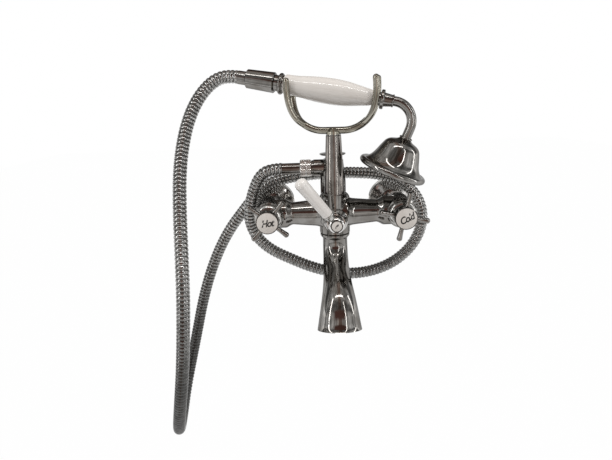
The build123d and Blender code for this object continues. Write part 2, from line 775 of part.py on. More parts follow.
with BuildPart() as diverter_bonnet:
    add(turned(diverter_axis, [
        (DIVERTER_BOSS_FRONT, DIVERTER_FLANGE_R + SLIP),
        (DIVERTER_BOSS_FRONT, DIVERTER_BONNET_R),
        (DIVERTER_BOSS_FRONT + 1.6, DIVERTER_BONNET_R),
        [
            (DIVERTER_BOSS_FRONT + 3.6, DIVERTER_BONNET_R - 1.1),
            (DIVERTER_BONNET_END - 3.4, DIVERTER_BONNET_FRONT_R + 0.5),
            (DIVERTER_BONNET_END - 0.8, DIVERTER_BONNET_FRONT_R),
        ],
        (DIVERTER_BONNET_END, DIVERTER_BONNET_FRONT_R - 0.6),
        (DIVERTER_BONNET_END, DIVERTER_NECK_R + SLIP),
        (DIVERTER_BONNET_END - 4, DIVERTER_NECK_R + SLIP),
        (flange_front + SLIP, DIVERTER_FLANGE_R - 1.5),
        (flange_front + SLIP, DIVERTER_FLANGE_R + SLIP),
    ]).part)
save(diverter_bonnet, "diverter_bonnet")

with BuildPart() as diverter_spindle:
    add(rod(diverter_axis, spindle_start, spindle_front, DIVERTER_SPINDLE_R).part)
save(diverter_spindle, "diverter_spindle")

lever_way = radians(LEVER_ANGLE)
lever_lean = radians(LEVER_LEAN)
lever_dir = Vector(cos(lever_way) * cos(lever_lean), -sin(lever_lean), sin(lever_way) * cos(lever_lean))
lever_axis = Plane(
    origin=(0, LEVER_Y, DIVERTER_Z),
    x_dir=lever_dir,
    z_dir=lever_dir.cross(Vector(-sin(lever_way), 0, cos(lever_way))),
)

hub_back = DIVERTER_BONNET_END + TURN_GAP
with BuildPart() as diverter_hub:
    add(turned(diverter_axis, [
        (hub_back, DIVERTER_SPINDLE_R + SEAT),
        (hub_back, DIVERTER_HUB_R - 0.8),
        (hub_back + 0.8, DIVERTER_HUB_R),
        (DIVERTER_HUB_END - 3.5, DIVERTER_HUB_R),
        [(DIVERTER_HUB_END - 1.2, DIVERTER_HUB_R - 0.9), (DIVERTER_HUB_END, DIVERTER_RIM_R)],
        (DIVERTER_HUB_END, 0),
        (spindle_front, 0),
        (spindle_front, DIVERTER_SPINDLE_R + SEAT),
    ]).part)
    add(rod(lever_axis, 0, DIVERTER_HUB_R + 3, LEVER_STUD_R + SCREW_FIT).part, mode=Mode.SUBTRACT)
    add(rod(diverter_axis, hub_back - 1, spindle_front, DIVERTER_SPINDLE_R + SEAT).part, mode=Mode.SUBTRACT)
save(diverter_hub, "diverter_hub")

with BuildPart() as lever_stud:
    add(turned(lever_axis, [
        (DIVERTER_SPINDLE_R + 0.6, 0),
        (DIVERTER_SPINDLE_R + 0.6, LEVER_STUD_R),
        (DIVERTER_HUB_R + 0.9, LEVER_STUD_R),
        (DIVERTER_HUB_R + 0.9, LEVER_COLLAR_R - 2),
        (LEVER_ROOT - 2, LEVER_COLLAR_R - 0.8),
        (LEVER_ROOT - 1.4, LEVER_COLLAR_R),
        (LEVER_ROOT, LEVER_COLLAR_R),
        (LEVER_ROOT, LEVER_STUD_R),
        (LEVER_STUD_END, LEVER_STUD_R),
        (LEVER_STUD_END, 0),
    ]).part)
save(lever_stud, "lever_stud")

with BuildPart() as lever:
    add(turned(lever_axis, [
        (LEVER_ROOT, LEVER_STUD_R + SLIP),
        (LEVER_ROOT, LEVER_ROOT_R - 0.6),
        (LEVER_ROOT + 0.6, LEVER_ROOT_R),
        (LEVER_END - 8, LEVER_TIP_R),
        [
            (LEVER_END - 4, LEVER_TIP_R - 0.2),
            (LEVER_END - 1.3, LEVER_TIP_R - 2.2),
            (LEVER_END - 0.3, LEVER_TIP_R - 4.6),
            (LEVER_END, 0),
        ],
        (LEVER_STUD_END + 0.5, 0),
        (LEVER_STUD_END + 0.5, LEVER_STUD_R + SLIP),
    ]).part)
save(lever, "lever")

diverter_rim_t = 1.9
save(make_index_rim(diverter_axis, DIVERTER_HUB_END, DIVERTER_RIM_R, DIVERTER_INDEX_R, diverter_rim_t),
     "diverter_index_rim")
save(make_index_disc(diverter_axis, DIVERTER_HUB_END, DIVERTER_INDEX_R, diverter_rim_t - 1),
     "diverter_index_disc")

# Spout: a smooth curved tube whose neck turns in the barrel


def spout_solid(inset, top_r):
    """Solid loft through the spout's sections, each radius less the inset, the top one with its own radius."""
    with BuildPart() as piece:
        for number, (y, z, lean, section_r) in enumerate(SPOUT_SECTIONS):
            radius = section_r - inset if number else top_r
            flow = Vector(0, -sin(radians(lean)), -cos(radians(lean)))
            with BuildSketch(Plane(origin=(0, y, z), x_dir=(1, 0, 0), z_dir=flow)):
                Circle(radius)
        loft()
    return piece


mouth_y, mouth_z, mouth_lean, mouth_r = SPOUT_SECTIONS[-1]
mouth_flow = Vector(0, -sin(radians(mouth_lean)), -cos(radians(mouth_lean)))
mouth_axis = Plane(origin=(0, mouth_y, mouth_z), x_dir=mouth_flow, z_dir=(1, 0, 0))
barrel_axis = up_axis(BARREL_Y)
with BuildPart() as spout:
    add(spout_solid(0, SPOUT_SECTIONS[0][3]).part)
    add(turned(barrel_axis, [
        (SPOUT_COLLAR_BOTTOM - 0.5, 0),
        (SPOUT_COLLAR_BOTTOM - 0.5, SPOUT_NECK_R),
        (GROOVE_Z - GROOVE_W / 2, SPOUT_NECK_R),
        (GROOVE_Z - GROOVE_W / 2, SPOUT_NECK_R - GROOVE_DEPTH),
        (GROOVE_Z + GROOVE_W / 2, SPOUT_NECK_R - GROOVE_DEPTH),
        (GROOVE_Z + GROOVE_W / 2, SPOUT_NECK_R),
        (ORING_Z - ORING_R, SPOUT_NECK_R),
        (ORING_Z - ORING_R, SPOUT_NECK_R - 2 * ORING_R),
        (ORING_Z + ORING_R, SPOUT_NECK_R - 2 * ORING_R),
        (ORING_Z + ORING_R, SPOUT_NECK_R),
        (SPOUT_NECK_TOP, SPOUT_NECK_R),
        (SPOUT_NECK_TOP, 0),
    ]).part)
    add(spout_solid(SPOUT_WALL, SPOUT_NECK_BORE_R).part, mode=Mode.SUBTRACT)
    add(
        rod(barrel_axis, SPOUT_COLLAR_BOTTOM - 2, SPOUT_NECK_TOP + 1, SPOUT_NECK_BORE_R).part,
        mode=Mode.SUBTRACT,
    )
save(spout, "spout")

collar_top = BARREL_BOTTOM - TURN_GAP
with BuildPart() as spout_collar:
    add(turned(barrel_axis, [
        (SPOUT_COLLAR_BOTTOM, SPOUT_NECK_R + SLIP),
        (SPOUT_COLLAR_BOTTOM, SPOUT_SECTIONS[0][3] + 0.2),
        [
            (SPOUT_COLLAR_BOTTOM + 2, SPOUT_COLLAR_R - 1.7),
            (SPOUT_COLLAR_BOTTOM + 3.6, SPOUT_COLLAR_R - 0.4),
            (collar_top - 2, SPOUT_COLLAR_R),
        ],
        (collar_top - 0.8, SPOUT_COLLAR_R),
        (collar_top, SPOUT_COLLAR_R - 0.8),
        (collar_top, SPOUT_NECK_R + SLIP),
    ]).part)
save(spout_collar, "spout_collar")

with BuildPart() as spout_oring:
    with BuildSketch(barrel_axis):
        with Locations((ORING_Z, SPOUT_NECK_R - ORING_R)):
            Circle(ORING_R)
    revolve(axis=Axis(barrel_axis.origin, barrel_axis.x_dir))
save(spout_oring, "spout_oring")

groove_floor = SPOUT_NECK_R - GROOVE_DEPTH + 0.2
with BuildPart() as spout_grub_screw:
    add(turned(Plane(origin=(0, BARREL_Y, GROOVE_Z), x_dir=(0, 1, 0), z_dir=(1, 0, 0)), [
        (groove_floor, 0),
        (groove_floor, GROOVE_W / 2 - 0.2),
        (CAVITY_R + 0.2, GROOVE_W / 2 - 0.2),
        (CAVITY_R + 0.6, GRUB_R),
        (BARREL_R - 1, GRUB_R),
        (BARREL_R - 1, 0),
    ]).part)
save(spout_grub_screw, "spout_grub_screw")

insert_low = -FLOW_INSERT_UP + FLOW_INSERT_T
screen_low = -FLOW_INSERT_UP + SCREEN_T
with BuildPart() as flow_insert:
    add(spout_solid(SPOUT_WALL + SLIP, SPOUT_NECK_BORE_R).part)
    add(rod(mouth_axis, -FLOW_INSERT_UP, insert_low, mouth_r).part, mode=Mode.INTERSECT)
    add(rod(mouth_axis, -FLOW_INSERT_UP - 1, screen_low, SCREEN_R).part, mode=Mode.SUBTRACT)
    add(rod(mouth_axis, screen_low - 1, insert_low + 1, SCREEN_R - 1.5).part, mode=Mode.SUBTRACT)
save(flow_insert, "flow_insert")

screen_plane = Plane(
    origin=mouth_axis.origin + mouth_flow * -FLOW_INSERT_UP,
    x_dir=(1, 0, 0),
    z_dir=mouth_flow,
)
with BuildPart() as flow_screen:
    with BuildSketch(screen_plane):
        Circle(SCREEN_R - SCREW_FIT)
        with GridLocations(3 * SCREEN_HOLE_R, 3 * SCREEN_HOLE_R, 5, 5):
            Circle(SCREEN_HOLE_R, mode=Mode.SUBTRACT)
    extrude(amount=SCREEN_T)
save(flow_screen, "flow_screen")

# Column and cradle

column_axis = up_axis(COLUMN_Y)
with BuildPart() as column:
    add(turned(column_axis, [
        (BARREL_TOP, 0),
        (BARREL_TOP, COLUMN_BASE_R),
        (COLUMN_TOP - 0.8, COLUMN_TOP_R),
        (COLUMN_TOP, COLUMN_TOP_R - 0.6),
        (COLUMN_TOP, 0),
    ]).part)
    add(
        rod(column_axis, BARREL_TOP - 1, COLUMN_STUD_HIGH + 1, COLUMN_STUD_R + SCREW_FIT).part,
        mode=Mode.SUBTRACT,
    )
    add(
        rod(column_axis, CRADLE_STUD_LOW - 1, COLUMN_TOP + 1, CRADLE_STUD_R + SCREW_FIT).part,
        mode=Mode.SUBTRACT,
    )
save(column, "column")

with BuildPart() as column_stud:
    add(rod(column_axis, COLUMN_STUD_LOW, COLUMN_STUD_HIGH, COLUMN_STUD_R).part)
save(column_stud, "column_stud")

boss_low = COLUMN_TOP + CRADLE_WASHER_T
with BuildPart() as cradle_washer:
    add(turned(column_axis, [
        (COLUMN_TOP, CRADLE_STUD_R + SLIP),
        (COLUMN_TOP, CRADLE_WASHER_R),
        (boss_low, CRADLE_WASHER_R),
        (boss_low, CRADLE_STUD_R + SLIP),
    ]).part)
save(cradle_washer, "cradle_washer")

with BuildPart() as cradle_stud:
    add(rod(column_axis, CRADLE_STUD_LOW, CRADLE_STUD_HIGH, CRADLE_STUD_R).part)
save(cradle_stud, "cradle_stud")

bend_z = CRADLE_BAR_Z + CRADLE_BEND_R
bend_sweep = 45.0


def bend_point(degrees, offset=0.0):
    """Point of the cradle's right bend, that many degrees up from its bottom, offset towards the user."""
    angle = radians(degrees)
    s = CRADLE_FLAT + CRADLE_BEND_R * sin(angle)
    z = bend_z - CRADLE_BEND_R * cos(angle)
    return Vector(s, z, offset)


def tine_points(end, face):
    """Points of one tine's middle line: end is -1 or 1 along the cradle, face -1 or 1 for back or front."""
    local = [bend_point(degrees, spread) for degrees, spread in TINE_SPREAD]
    local.append(Vector(CRADLE_REACH, TINE_TOP - TINE_R, TINE_TOP_SPREAD))
    return [cradle_plane.from_local_coords((end * p.X, p.Y, face * p.Z)) for p in local]


def round_rod(path, radius):
    """A round bar swept along a path."""
    with BuildPart() as piece:
        with BuildSketch(Plane(origin=path @ 0, z_dir=path % 0)):
            Circle(radius)
        sweep(path=path)
    return piece


with BuildPart() as cradle:
    with BuildLine(cradle_plane, mode=Mode.PRIVATE) as bar:
        base = Line((-CRADLE_FLAT, CRADLE_BAR_Z), (CRADLE_FLAT, CRADLE_BAR_Z))
        JernArc(start=base @ 1, tangent=(1, 0), radius=CRADLE_BEND_R, arc_size=bend_sweep)
        JernArc(start=base @ 0, tangent=(-1, 0), radius=CRADLE_BEND_R, arc_size=-bend_sweep)
    add(round_rod(bar.wire(), CRADLE_ROD_R).part)
    for end in (-1, 1):
        for face in (-1, 1):
            points = tine_points(end, face)
            with BuildLine(mode=Mode.PRIVATE) as tine:
                Spline(*points)
            add(round_rod(tine.wire(), TINE_R).part)
            with Locations(points[-1]):
                Sphere(TINE_R)
    add(turned(column_axis, [
        (boss_low, 0),
        (boss_low, CRADLE_BOSS_R),
        (boss_low + 3, CRADLE_BOSS_R),
        (CRADLE_BAR_Z + CRADLE_ROD_R - 0.6, CRADLE_ROD_R),
        (CRADLE_BAR_Z + CRADLE_ROD_R - 0.6, 0),
    ]).part)
    add(
        rod(column_axis, boss_low - 1, CRADLE_STUD_HIGH + 0.2, CRADLE_STUD_R + SCREW_FIT).part,
        mode=Mode.SUBTRACT,
    )
save(cradle, "cradle")

# Handset: tail, bead collar, ceramic grip on its tube, flange, socket nut, bent tube and rose

tube_hole = GRIP_TUBE_R + SCREW_FIT
tube_start = TAIL_NECK_START - 2
tube_end = SOCKET_END - 7.4

with BuildPart() as handset_tail:
    add(turned(grip_axis, [
        (TAIL_THREAD_END, GRIP_TUBE_BORE_R),
        (TAIL_THREAD_END, TAIL_THREAD_R - 0.7),
        (TAIL_THREAD_END + 0.7, TAIL_THREAD_R),
        (TAIL_NECK_START, TAIL_THREAD_R),
        (TAIL_NECK_START + 0.4, TAIL_NECK_R),
        (BEAD_START, TAIL_NECK_R),
        (BEAD_START, tube_hole),
        (tube_start, tube_hole),
        (tube_start, GRIP_TUBE_BORE_R),
    ]).part)
save(handset_tail, "handset_tail")

bead_low_r = BEAD_R - 2.2
with BuildPart() as bead_collar:
    add(turned(grip_axis, [
        (BEAD_START, tube_hole),
        (BEAD_START, bead_low_r),
        [(BEAD_START + 2.3, BEAD_R), (BEAD_START + 4.6, bead_low_r)],
        (GRIP_START, bead_low_r),
        (GRIP_START, tube_hole),
    ]).part)
save(bead_collar, "bead_collar")

with BuildPart() as grip:
    add(turned(grip_axis, [
        (GRIP_START, tube_hole),
        (GRIP_START, 8.6),
        [(GRIP_START + 0.7, 9.6), (GRIP_START + 6.5, 10.75), (-24.5, 12.5), (-5.0, 13.6), (19.0, 12.2),
         (GRIP_END - 9.0, 9.4), (GRIP_END - 1.7, 7.8), (GRIP_END, 7.0)],
        (GRIP_END, tube_hole),
    ]).part)
save(grip, "grip")

with BuildPart() as grip_tube:
    add(turned(grip_axis, [
        (tube_start, GRIP_TUBE_BORE_R),
        (tube_start, GRIP_TUBE_R),
        (tube_end, GRIP_TUBE_R),
        (tube_end, GRIP_TUBE_BORE_R),
    ]).part)
save(grip_tube, "grip_tube")

with BuildPart() as grip_flange:
    add(turned(grip_axis, [
        (GRIP_END, tube_hole),
        (GRIP_END, FLANGE_NECK_R),
        (FLANGE_RING_START, FLANGE_NECK_R),
        (FLANGE_RING_START, FLANGE_RING_R - 1),
        [(FLANGE_RING_START + 0.4, FLANGE_RING_R - 0.3), (FLANGE_RING_START + 1.2, FLANGE_RING_R)],
        (FLANGE_RING_END - 1.2, FLANGE_RING_R),
        [(FLANGE_RING_END - 0.4, FLANGE_RING_R - 0.3), (FLANGE_RING_END, FLANGE_RING_R - 1)],
        (FLANGE_RING_END, tube_hole),
    ]).part)
save(grip_flange, "grip_flange")

neck_hole = NECK_TUBE_R + SCREW_FIT
with BuildPart() as socket_nut:
    add(turned(grip_axis, [
        (FLANGE_RING_END, tube_hole),
        (FLANGE_RING_END, SOCKET_R + 0.4),
        (FLANGE_RING_END + 0.8, SOCKET_R),
        (SOCKET_END - 2, SOCKET_END_R),
        (SOCKET_END - 1.6, SOCKET_END_R + 0.5),
        (SOCKET_END - 0.4, SOCKET_END_R + 0.5),
        (SOCKET_END, SOCKET_END_R),
        (SOCKET_END, neck_hole),
        (tube_end, neck_hole),
        (tube_end, tube_hole),
    ]).part)
save(socket_nut, "socket_nut")

with BuildLine(grip_axis) as neck_line:
    neck_start = Line((tube_end, 0), (NECK_BEND_START, 0))
    neck_bend = JernArc(start=neck_start @ 1, tangent=(1, 0), radius=NECK_BEND_R, arc_size=-ROSE_BEND)
    PolarLine(neck_bend @ 1, ROSE_DROP, direction=neck_bend % 1)
neck_path = neck_line.wire()
rose_flow = neck_path % 1
rose_top = neck_path @ 1
with BuildPart() as neck_tube:
    add(round_rod(neck_path, NECK_TUBE_R).part)
    add(round_rod(neck_path, NECK_TUBE_R - NECK_TUBE_WALL).part, mode=Mode.SUBTRACT)
save(neck_tube, "neck_tube")

# Rose: shell, gasket and spray plate, along its own axis from its top

rose_axis = Plane(origin=rose_top, x_dir=rose_flow, z_dir=cradle_plane.z_dir)
plate_r = ROSE_RIM_R - ROSE_WALL
plate_back = ROSE_DEPTH - 0.5
gasket_t = 1.5
ledge = plate_back - gasket_t
rim_end = ROSE_DEPTH + ROSE_BEAD_R
waist = (12.0, 20.9)
flare = [(17.0, 22.9), (23.0, 25.2), (28.0, 27.9)]
with BuildPart() as rose_shell:
    add(turned(rose_axis, [
        (-1.5, neck_hole),
        (-1.5, NECK_TUBE_R + 1.0),
        [(-0.3, NECK_TUBE_R + 1.9), (0.9, NECK_TUBE_R + 1.3)],
        [(2.4, 8.6), (3.8, 12.6), (5.6, 16.4), (8.2, 19.0), waist, *flare, (ROSE_DEPTH - 3.3, ROSE_RIM_R - 1.4)],
        [(ROSE_DEPTH, ROSE_RIM_R + ROSE_BEAD_R), (rim_end, ROSE_RIM_R)],
        (rim_end, plate_r + SLIP),
        (ledge, plate_r + SLIP),
        (ledge, plate_r - 1.6),
        [*((depth, radius - 1.2 * ROSE_WALL) for depth, radius in reversed(flare)),
         (waist[0], waist[1] - 1.4 * ROSE_WALL), (8.6, 14.0), (ROSE_NECK, 9.5)],
        (ROSE_NECK, neck_hole),
    ]).part)
save(rose_shell, "rose_shell")

with BuildPart() as rose_gasket:
    add(turned(rose_axis, [
        (ledge, plate_r - 1.6),
        (ledge, plate_r),
        (plate_back, plate_r),
        (plate_back, plate_r - 1.6),
    ]).part)
save(rose_gasket, "rose_gasket")

plate_plane = Plane(origin=rose_top + rose_flow * plate_back, x_dir=cradle_plane.z_dir, z_dir=rose_flow)
ring_step = (plate_r - 4) / SPRAY_RINGS
with BuildPart() as spray_plate:
    with BuildSketch(plate_plane):
        Circle(plate_r)
        Circle(SPRAY_HOLE_R, mode=Mode.SUBTRACT)
        for ring in range(1, SPRAY_RINGS + 1):
            with PolarLocations(ring * ring_step, 6 * ring):
                Circle(SPRAY_HOLE_R, mode=Mode.SUBTRACT)
    extrude(amount=SPRAY_PLATE_T)
save(spray_plate, "spray_plate")

# Hose ends: a nut that turns on a flanged ferrule, with a washer, at the outlet and at the handset


def make_washer(axis, start, bore):
    """Hose washer from start to start plus its thickness."""
    return turned(axis, [
        (start, bore),
        (start, FERRULE_FLANGE_R),
        (start + HOSE_WASHER_T, FERRULE_FLANGE_R),
        (start + HOSE_WASHER_T, bore),
    ])


def make_ferrule(axis, start, end, radius):
    """Flanged sleeve from its washer at start to the hose at end."""
    return turned(axis, [
        (start, HOSE_BORE_R),
        (start, FERRULE_FLANGE_R),
        (start + FERRULE_FLANGE_T, FERRULE_FLANGE_R),
        (start + FERRULE_FLANGE_T, radius),
        (end, radius),
        (end, HOSE_BORE_R),
    ])


thread_hole = HOSE_THREAD_R + SCREW_FIT
washer_end = nipple_end + HOSE_WASHER_T
save(make_washer(outlet_axis, nipple_end, OUTLET_BORE_R), "hose_washer_outlet")
save(make_ferrule(outlet_axis, washer_end, OUTLET_FERRULE_END, OUTLET_FERRULE_R), "hose_ferrule_outlet")
lip_start = washer_end + FERRULE_FLANGE_T
with BuildPart() as hose_nut_outlet:
    add(turned(outlet_axis, [
        (OUTLET_NUT_START, thread_hole),
        (OUTLET_NUT_START, HOSE_NUT_R - 0.6),
        (OUTLET_NUT_START + 0.6, HOSE_NUT_R),
        (OUTLET_NUT_END - 0.6, HOSE_NUT_R),
        (OUTLET_NUT_END, HOSE_NUT_R - 0.6),
        (OUTLET_NUT_END, OUTLET_FERRULE_R + SLIP),
        (lip_start, OUTLET_FERRULE_R + SLIP),
        (lip_start, thread_hole),
    ]).part)
save(hose_nut_outlet, "hose_nut_outlet")

# The same at the handset, where its axis runs from the hose to the handset, so its lengths run backwards
back_axis = Plane(origin=grip_axis.origin, x_dir=-grip_axis.x_dir, z_dir=grip_axis.z_dir)
handset_washer_end = -TAIL_THREAD_END + HOSE_WASHER_T
save(make_washer(back_axis, -TAIL_THREAD_END, GRIP_TUBE_BORE_R), "hose_washer_handset")
save(make_ferrule(back_axis, handset_washer_end, -HANDSET_FERRULE_END, HANDSET_FERRULE_R),
     "hose_ferrule_handset")
nut_near = -TAIL_NECK_START + 0.4
handset_lip = handset_washer_end + FERRULE_FLANGE_T
with BuildPart() as hose_nut_handset:
    add(turned(back_axis, [
        (nut_near, thread_hole),
        (nut_near, HOSE_NUT_BIG_R - 0.8),
        (nut_near + 0.8, HOSE_NUT_BIG_R),
        (-HANDSET_NUT_END - 0.8, HOSE_NUT_BIG_R - HOSE_NUT_TAPER),
        (-HANDSET_NUT_END, HOSE_NUT_BIG_R - HOSE_NUT_TAPER - 0.8),
        (-HANDSET_NUT_END, HANDSET_FERRULE_R + SLIP),
        (handset_lip, HANDSET_FERRULE_R + SLIP),
        (handset_lip, thread_hole),
    ]).part)
save(hose_nut_handset, "hose_nut_handset")

# Hose: straight runs joined by arcs, plain at both ends, ribbed between them, bored through


def corner_radius(before, corner, after):
    """Radius of the arc that takes just under half of the shorter run at a corner of the route."""
    run_in = corner - before
    run_out = after - corner
    half_turn = radians(run_in.get_angle(run_out)) / 2
    return 0.45 * min(run_in.length, run_out.length) / tan(half_turn)


route = [along(outlet_axis, length).origin for length in (OUTLET_FERRULE_END, OUTLET_FERRULE_END + HOSE_LEAD)]
route += [Vector(*corner) for corner in HOSE_ROUTE]
route += [along(back_axis, length - HANDSET_FERRULE_END).origin for length in (HOSE_LEAD, 0)]
radii = [corner_radius(*route[i:i + 3]) for i in range(len(route) - 2)]
print("Hose corner radii in mm:", [round(radius) for radius in radii])

with BuildLine() as hose_line:
    FilletPolyline(*route, radius=radii)
hose_path = hose_line.wire()
hose_length = hose_path.length

plain = 2 * HOSE_R
pitch = (hose_length - 2 * plain) / HOSE_RIBS
valley_r = HOSE_R - HOSE_RIB_DEPTH
stations = [(0, HOSE_R), (plain, HOSE_R)]
for rib in range(HOSE_RIBS):
    for share, radius in ((0.075, valley_r), (0.275, HOSE_R), (0.725, HOSE_R), (0.925, valley_r)):
        stations.append((plain + (rib + share) * pitch, radius))
stations += [(hose_length - plain, HOSE_R), (hose_length, HOSE_R)]

across = Vector(0, 0, 1)
with BuildPart() as hose:
    for distance, radius in stations:
        middle = hose_path.position_at(distance, position_mode=PositionMode.LENGTH)
        ahead = hose_path.tangent_at(distance, position_mode=PositionMode.LENGTH)
        across = (across - ahead * across.dot(ahead)).normalized()
        with BuildSketch(Plane(origin=middle, x_dir=across, z_dir=ahead)):
            Circle(radius)
    loft(ruled=True)
    outside = hose.part.volume
    add(round_rod(hose_path, HOSE_BORE_R).part, mode=Mode.SUBTRACT)
bore = pi * HOSE_BORE_R ** 2 * hose_length
print(f"Hose length {hose_length:.1f} mm, bore {outside - hose.part.volume:.0f} of {bore:.0f} mm3")
save(hose, "hose")
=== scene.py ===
"""Bath mixer with a telephone-style handset, dressed for the photograph's view.

Metres and radians, +Z up, +Y into the wall. The CAD nodes keep their shapes and get their finishes here.
The hose, the knurled grip of its nut and the lettering are modelled here.
"""
import json
from math import cos, pi, radians, sin, sqrt

import bpy
from mathutils import Matrix, Vector


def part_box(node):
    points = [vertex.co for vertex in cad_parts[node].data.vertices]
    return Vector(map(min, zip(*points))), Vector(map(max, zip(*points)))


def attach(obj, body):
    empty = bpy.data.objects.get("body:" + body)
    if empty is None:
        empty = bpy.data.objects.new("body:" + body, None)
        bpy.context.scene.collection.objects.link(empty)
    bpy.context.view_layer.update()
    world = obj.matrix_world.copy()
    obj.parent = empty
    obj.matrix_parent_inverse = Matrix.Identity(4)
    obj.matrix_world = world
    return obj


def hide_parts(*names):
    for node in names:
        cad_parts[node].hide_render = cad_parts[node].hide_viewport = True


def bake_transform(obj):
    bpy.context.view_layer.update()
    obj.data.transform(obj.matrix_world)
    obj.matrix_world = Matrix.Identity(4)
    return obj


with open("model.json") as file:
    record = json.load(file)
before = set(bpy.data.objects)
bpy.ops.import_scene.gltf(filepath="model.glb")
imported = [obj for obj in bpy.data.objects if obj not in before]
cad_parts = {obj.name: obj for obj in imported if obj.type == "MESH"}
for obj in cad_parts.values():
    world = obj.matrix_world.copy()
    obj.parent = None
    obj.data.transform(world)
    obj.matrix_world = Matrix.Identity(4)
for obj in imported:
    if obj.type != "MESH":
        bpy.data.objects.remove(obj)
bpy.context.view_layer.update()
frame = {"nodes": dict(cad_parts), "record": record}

# Camera: the photograph's own place, turned down and rolled a little

CAMERA_PLACE = Vector((-0.02914, -0.59910, 0.13049))
CAMERA_YAW = -0.00865
CAMERA_DOWN = 0.27539
CAMERA_ROLL = 0.03593
CAMERA_LENS = 27.88      # millimetres, like the sensor's width
CAMERA_SENSOR = 36
CAMERA_NEAREST = 0.01

ahead = Vector((
    sin(CAMERA_YAW) * cos(CAMERA_DOWN),
    cos(CAMERA_YAW) * cos(CAMERA_DOWN),
    -sin(CAMERA_DOWN),
))
level_right = Vector((cos(CAMERA_YAW), -sin(CAMERA_YAW), 0))
level_down = ahead.cross(level_right)
right = cos(CAMERA_ROLL) * level_right + sin(CAMERA_ROLL) * level_down
up = sin(CAMERA_ROLL) * level_right - cos(CAMERA_ROLL) * level_down

lens = bpy.data.cameras.new("photo_camera")
lens.lens = CAMERA_LENS
lens.sensor_width = CAMERA_SENSOR
lens.clip_start = CAMERA_NEAREST
camera = bpy.data.objects.new("photo_camera", lens)
camera.matrix_world = Matrix((
    (right.x, up.x, -ahead.x, CAMERA_PLACE.x),
    (right.y, up.y, -ahead.y, CAMERA_PLACE.y),
    (right.z, up.z, -ahead.z, CAMERA_PLACE.z),
    (0, 0, 0, 1),
))
bpy.context.collection.objects.link(camera)
bpy.context.scene.camera = camera
bpy.context.scene.view_settings.view_transform = "Standard"


def add_mesh(name, corners, faces):
    """A new mesh object, linked to the scene."""
    mesh = bpy.data.meshes.new(name)
    mesh.from_pydata(corners, [], faces)
    piece = bpy.data.objects.new(name, mesh)
    bpy.context.collection.objects.link(piece)
    return piece


# Hose: its route, from the outlet's ferrule to the handset's, then a tube of interlocked rings along it

HOSE_ROUTE = [
    (-0.059, -0.045, 0.0492), (-0.074, -0.045, 0.0492), (-0.0865, -0.043, 0.041),
    (-0.0955, -0.04, 0.0225), (-0.1015, -0.0375, 0.002), (-0.1024, -0.034, -0.019),
    (-0.0942, -0.031, -0.0396), (-0.0779, -0.0295, -0.0552), (-0.054, -0.0305, -0.0675),
    (-0.028, -0.032, -0.079), (-0.001, -0.033, -0.0865), (0.0265, -0.0335, -0.089),
    (0.054, -0.031, -0.0855), (0.0785, -0.029, -0.075), (0.0985, -0.027, -0.0575),
    (0.1105, -0.0255, -0.0345), (0.1115, -0.0245, -0.01), (0.1015, -0.0225, 0.012),
    (0.082, -0.0205, 0.0285), (0.0575, -0.0175, 0.0355), (0.0285, -0.015, 0.0375),
    (-0.002, -0.0145, 0.038), (-0.032, -0.0155, 0.0365), (-0.0585, -0.0165, 0.0335),
    (-0.08, -0.0165, 0.0272), (-0.097, -0.0165, 0.012), (-0.113, -0.0155, -0.007),
    (-0.13, -0.0135, -0.028), (-0.1455, -0.012, -0.053), (-0.161, -0.0115, -0.086),
    (-0.175, -0.0115, -0.126), (-0.1865, -0.0115, -0.169), (-0.1965, -0.012, -0.206),
    (-0.2045, -0.014, -0.236), (-0.2085, -0.0295, -0.26), (-0.2075, -0.055, -0.2735),
    (-0.2035, -0.0835, -0.2725), (-0.197, -0.108, -0.2555), (-0.19, -0.1235, -0.23),
    (-0.1815, -0.1365, -0.195), (-0.1725, -0.1455, -0.152), (-0.1655, -0.151, -0.1065),
    (-0.161, -0.151, -0.063), (-0.16, -0.1435, -0.02), (-0.162, -0.126, 0.0225),
    (-0.1635, -0.1025, 0.064), (-0.1595, -0.078, 0.101), (-0.15, -0.0605, 0.128),
    (-0.1345, -0.05, 0.1475), (-0.11645, -0.04725, 0.15554), (-0.10201, -0.05032, 0.15285),
]
HOSE_STEPS = 16          # points of the line for each control point
HOSE_R = 0.00725
HOSE_PITCH = 0.0044
HOSE_SIDES = 20
# share of a ring's pitch, depth below the hose's outside
HOSE_RING = [
    (0.04, 0.0009), (0.12, 0.0004), (0.26, 0.0001), (0.44, 0.0),
    (0.64, 0.0001), (0.84, 0.0004), (0.94, 0.0009),
]
# Painted shade: these rows get the near-black groove material, for the shade inside the grooves between the
# rings
HOSE_SHADED_ROWS = (0, 1)     # the rows of faces, counted from a ring's groove, that are dark


def route_line(name, points):
    """Points of a smooth curve that has the given control points."""
    curve = bpy.data.curves.new(name, "CURVE")
    curve.dimensions = "3D"
    curve.resolution_u = HOSE_STEPS
    spline = curve.splines.new("NURBS")
    spline.points.add(len(points) - 1)
    for point, place in zip(spline.points, points):
        point.co = (*place, 1)
    spline.order_u = 3
    spline.use_endpoint_u = True
    holder = bpy.data.objects.new(name, curve)
    bpy.context.collection.objects.link(holder)
    bpy.context.view_layer.update()
    line = bpy.data.meshes.new_from_object(holder)
    places = [vertex.co.copy() for vertex in line.vertices]
    bpy.data.objects.remove(holder)
    bpy.data.curves.remove(curve)
    bpy.data.meshes.remove(line)
    return places


def line_lengths(places):
    """Distance along the line to each of its places."""
    lengths = [0.0]
    for here, there in zip(places, places[1:]):
        lengths.append(lengths[-1] + (there - here).length)
    return lengths


def hose_stations(length):
    """(distance, radius) of each loop of corners: ribbed rings between two plain ends."""
    rings = int(length / HOSE_PITCH)
    stations = [(0.0, HOSE_R)]
    for ring in range(rings):
        for share, depth in HOSE_RING:
            stations.append(((ring + share) * length / rings, HOSE_R - depth))
    stations.append((length, HOSE_R))
    return stations


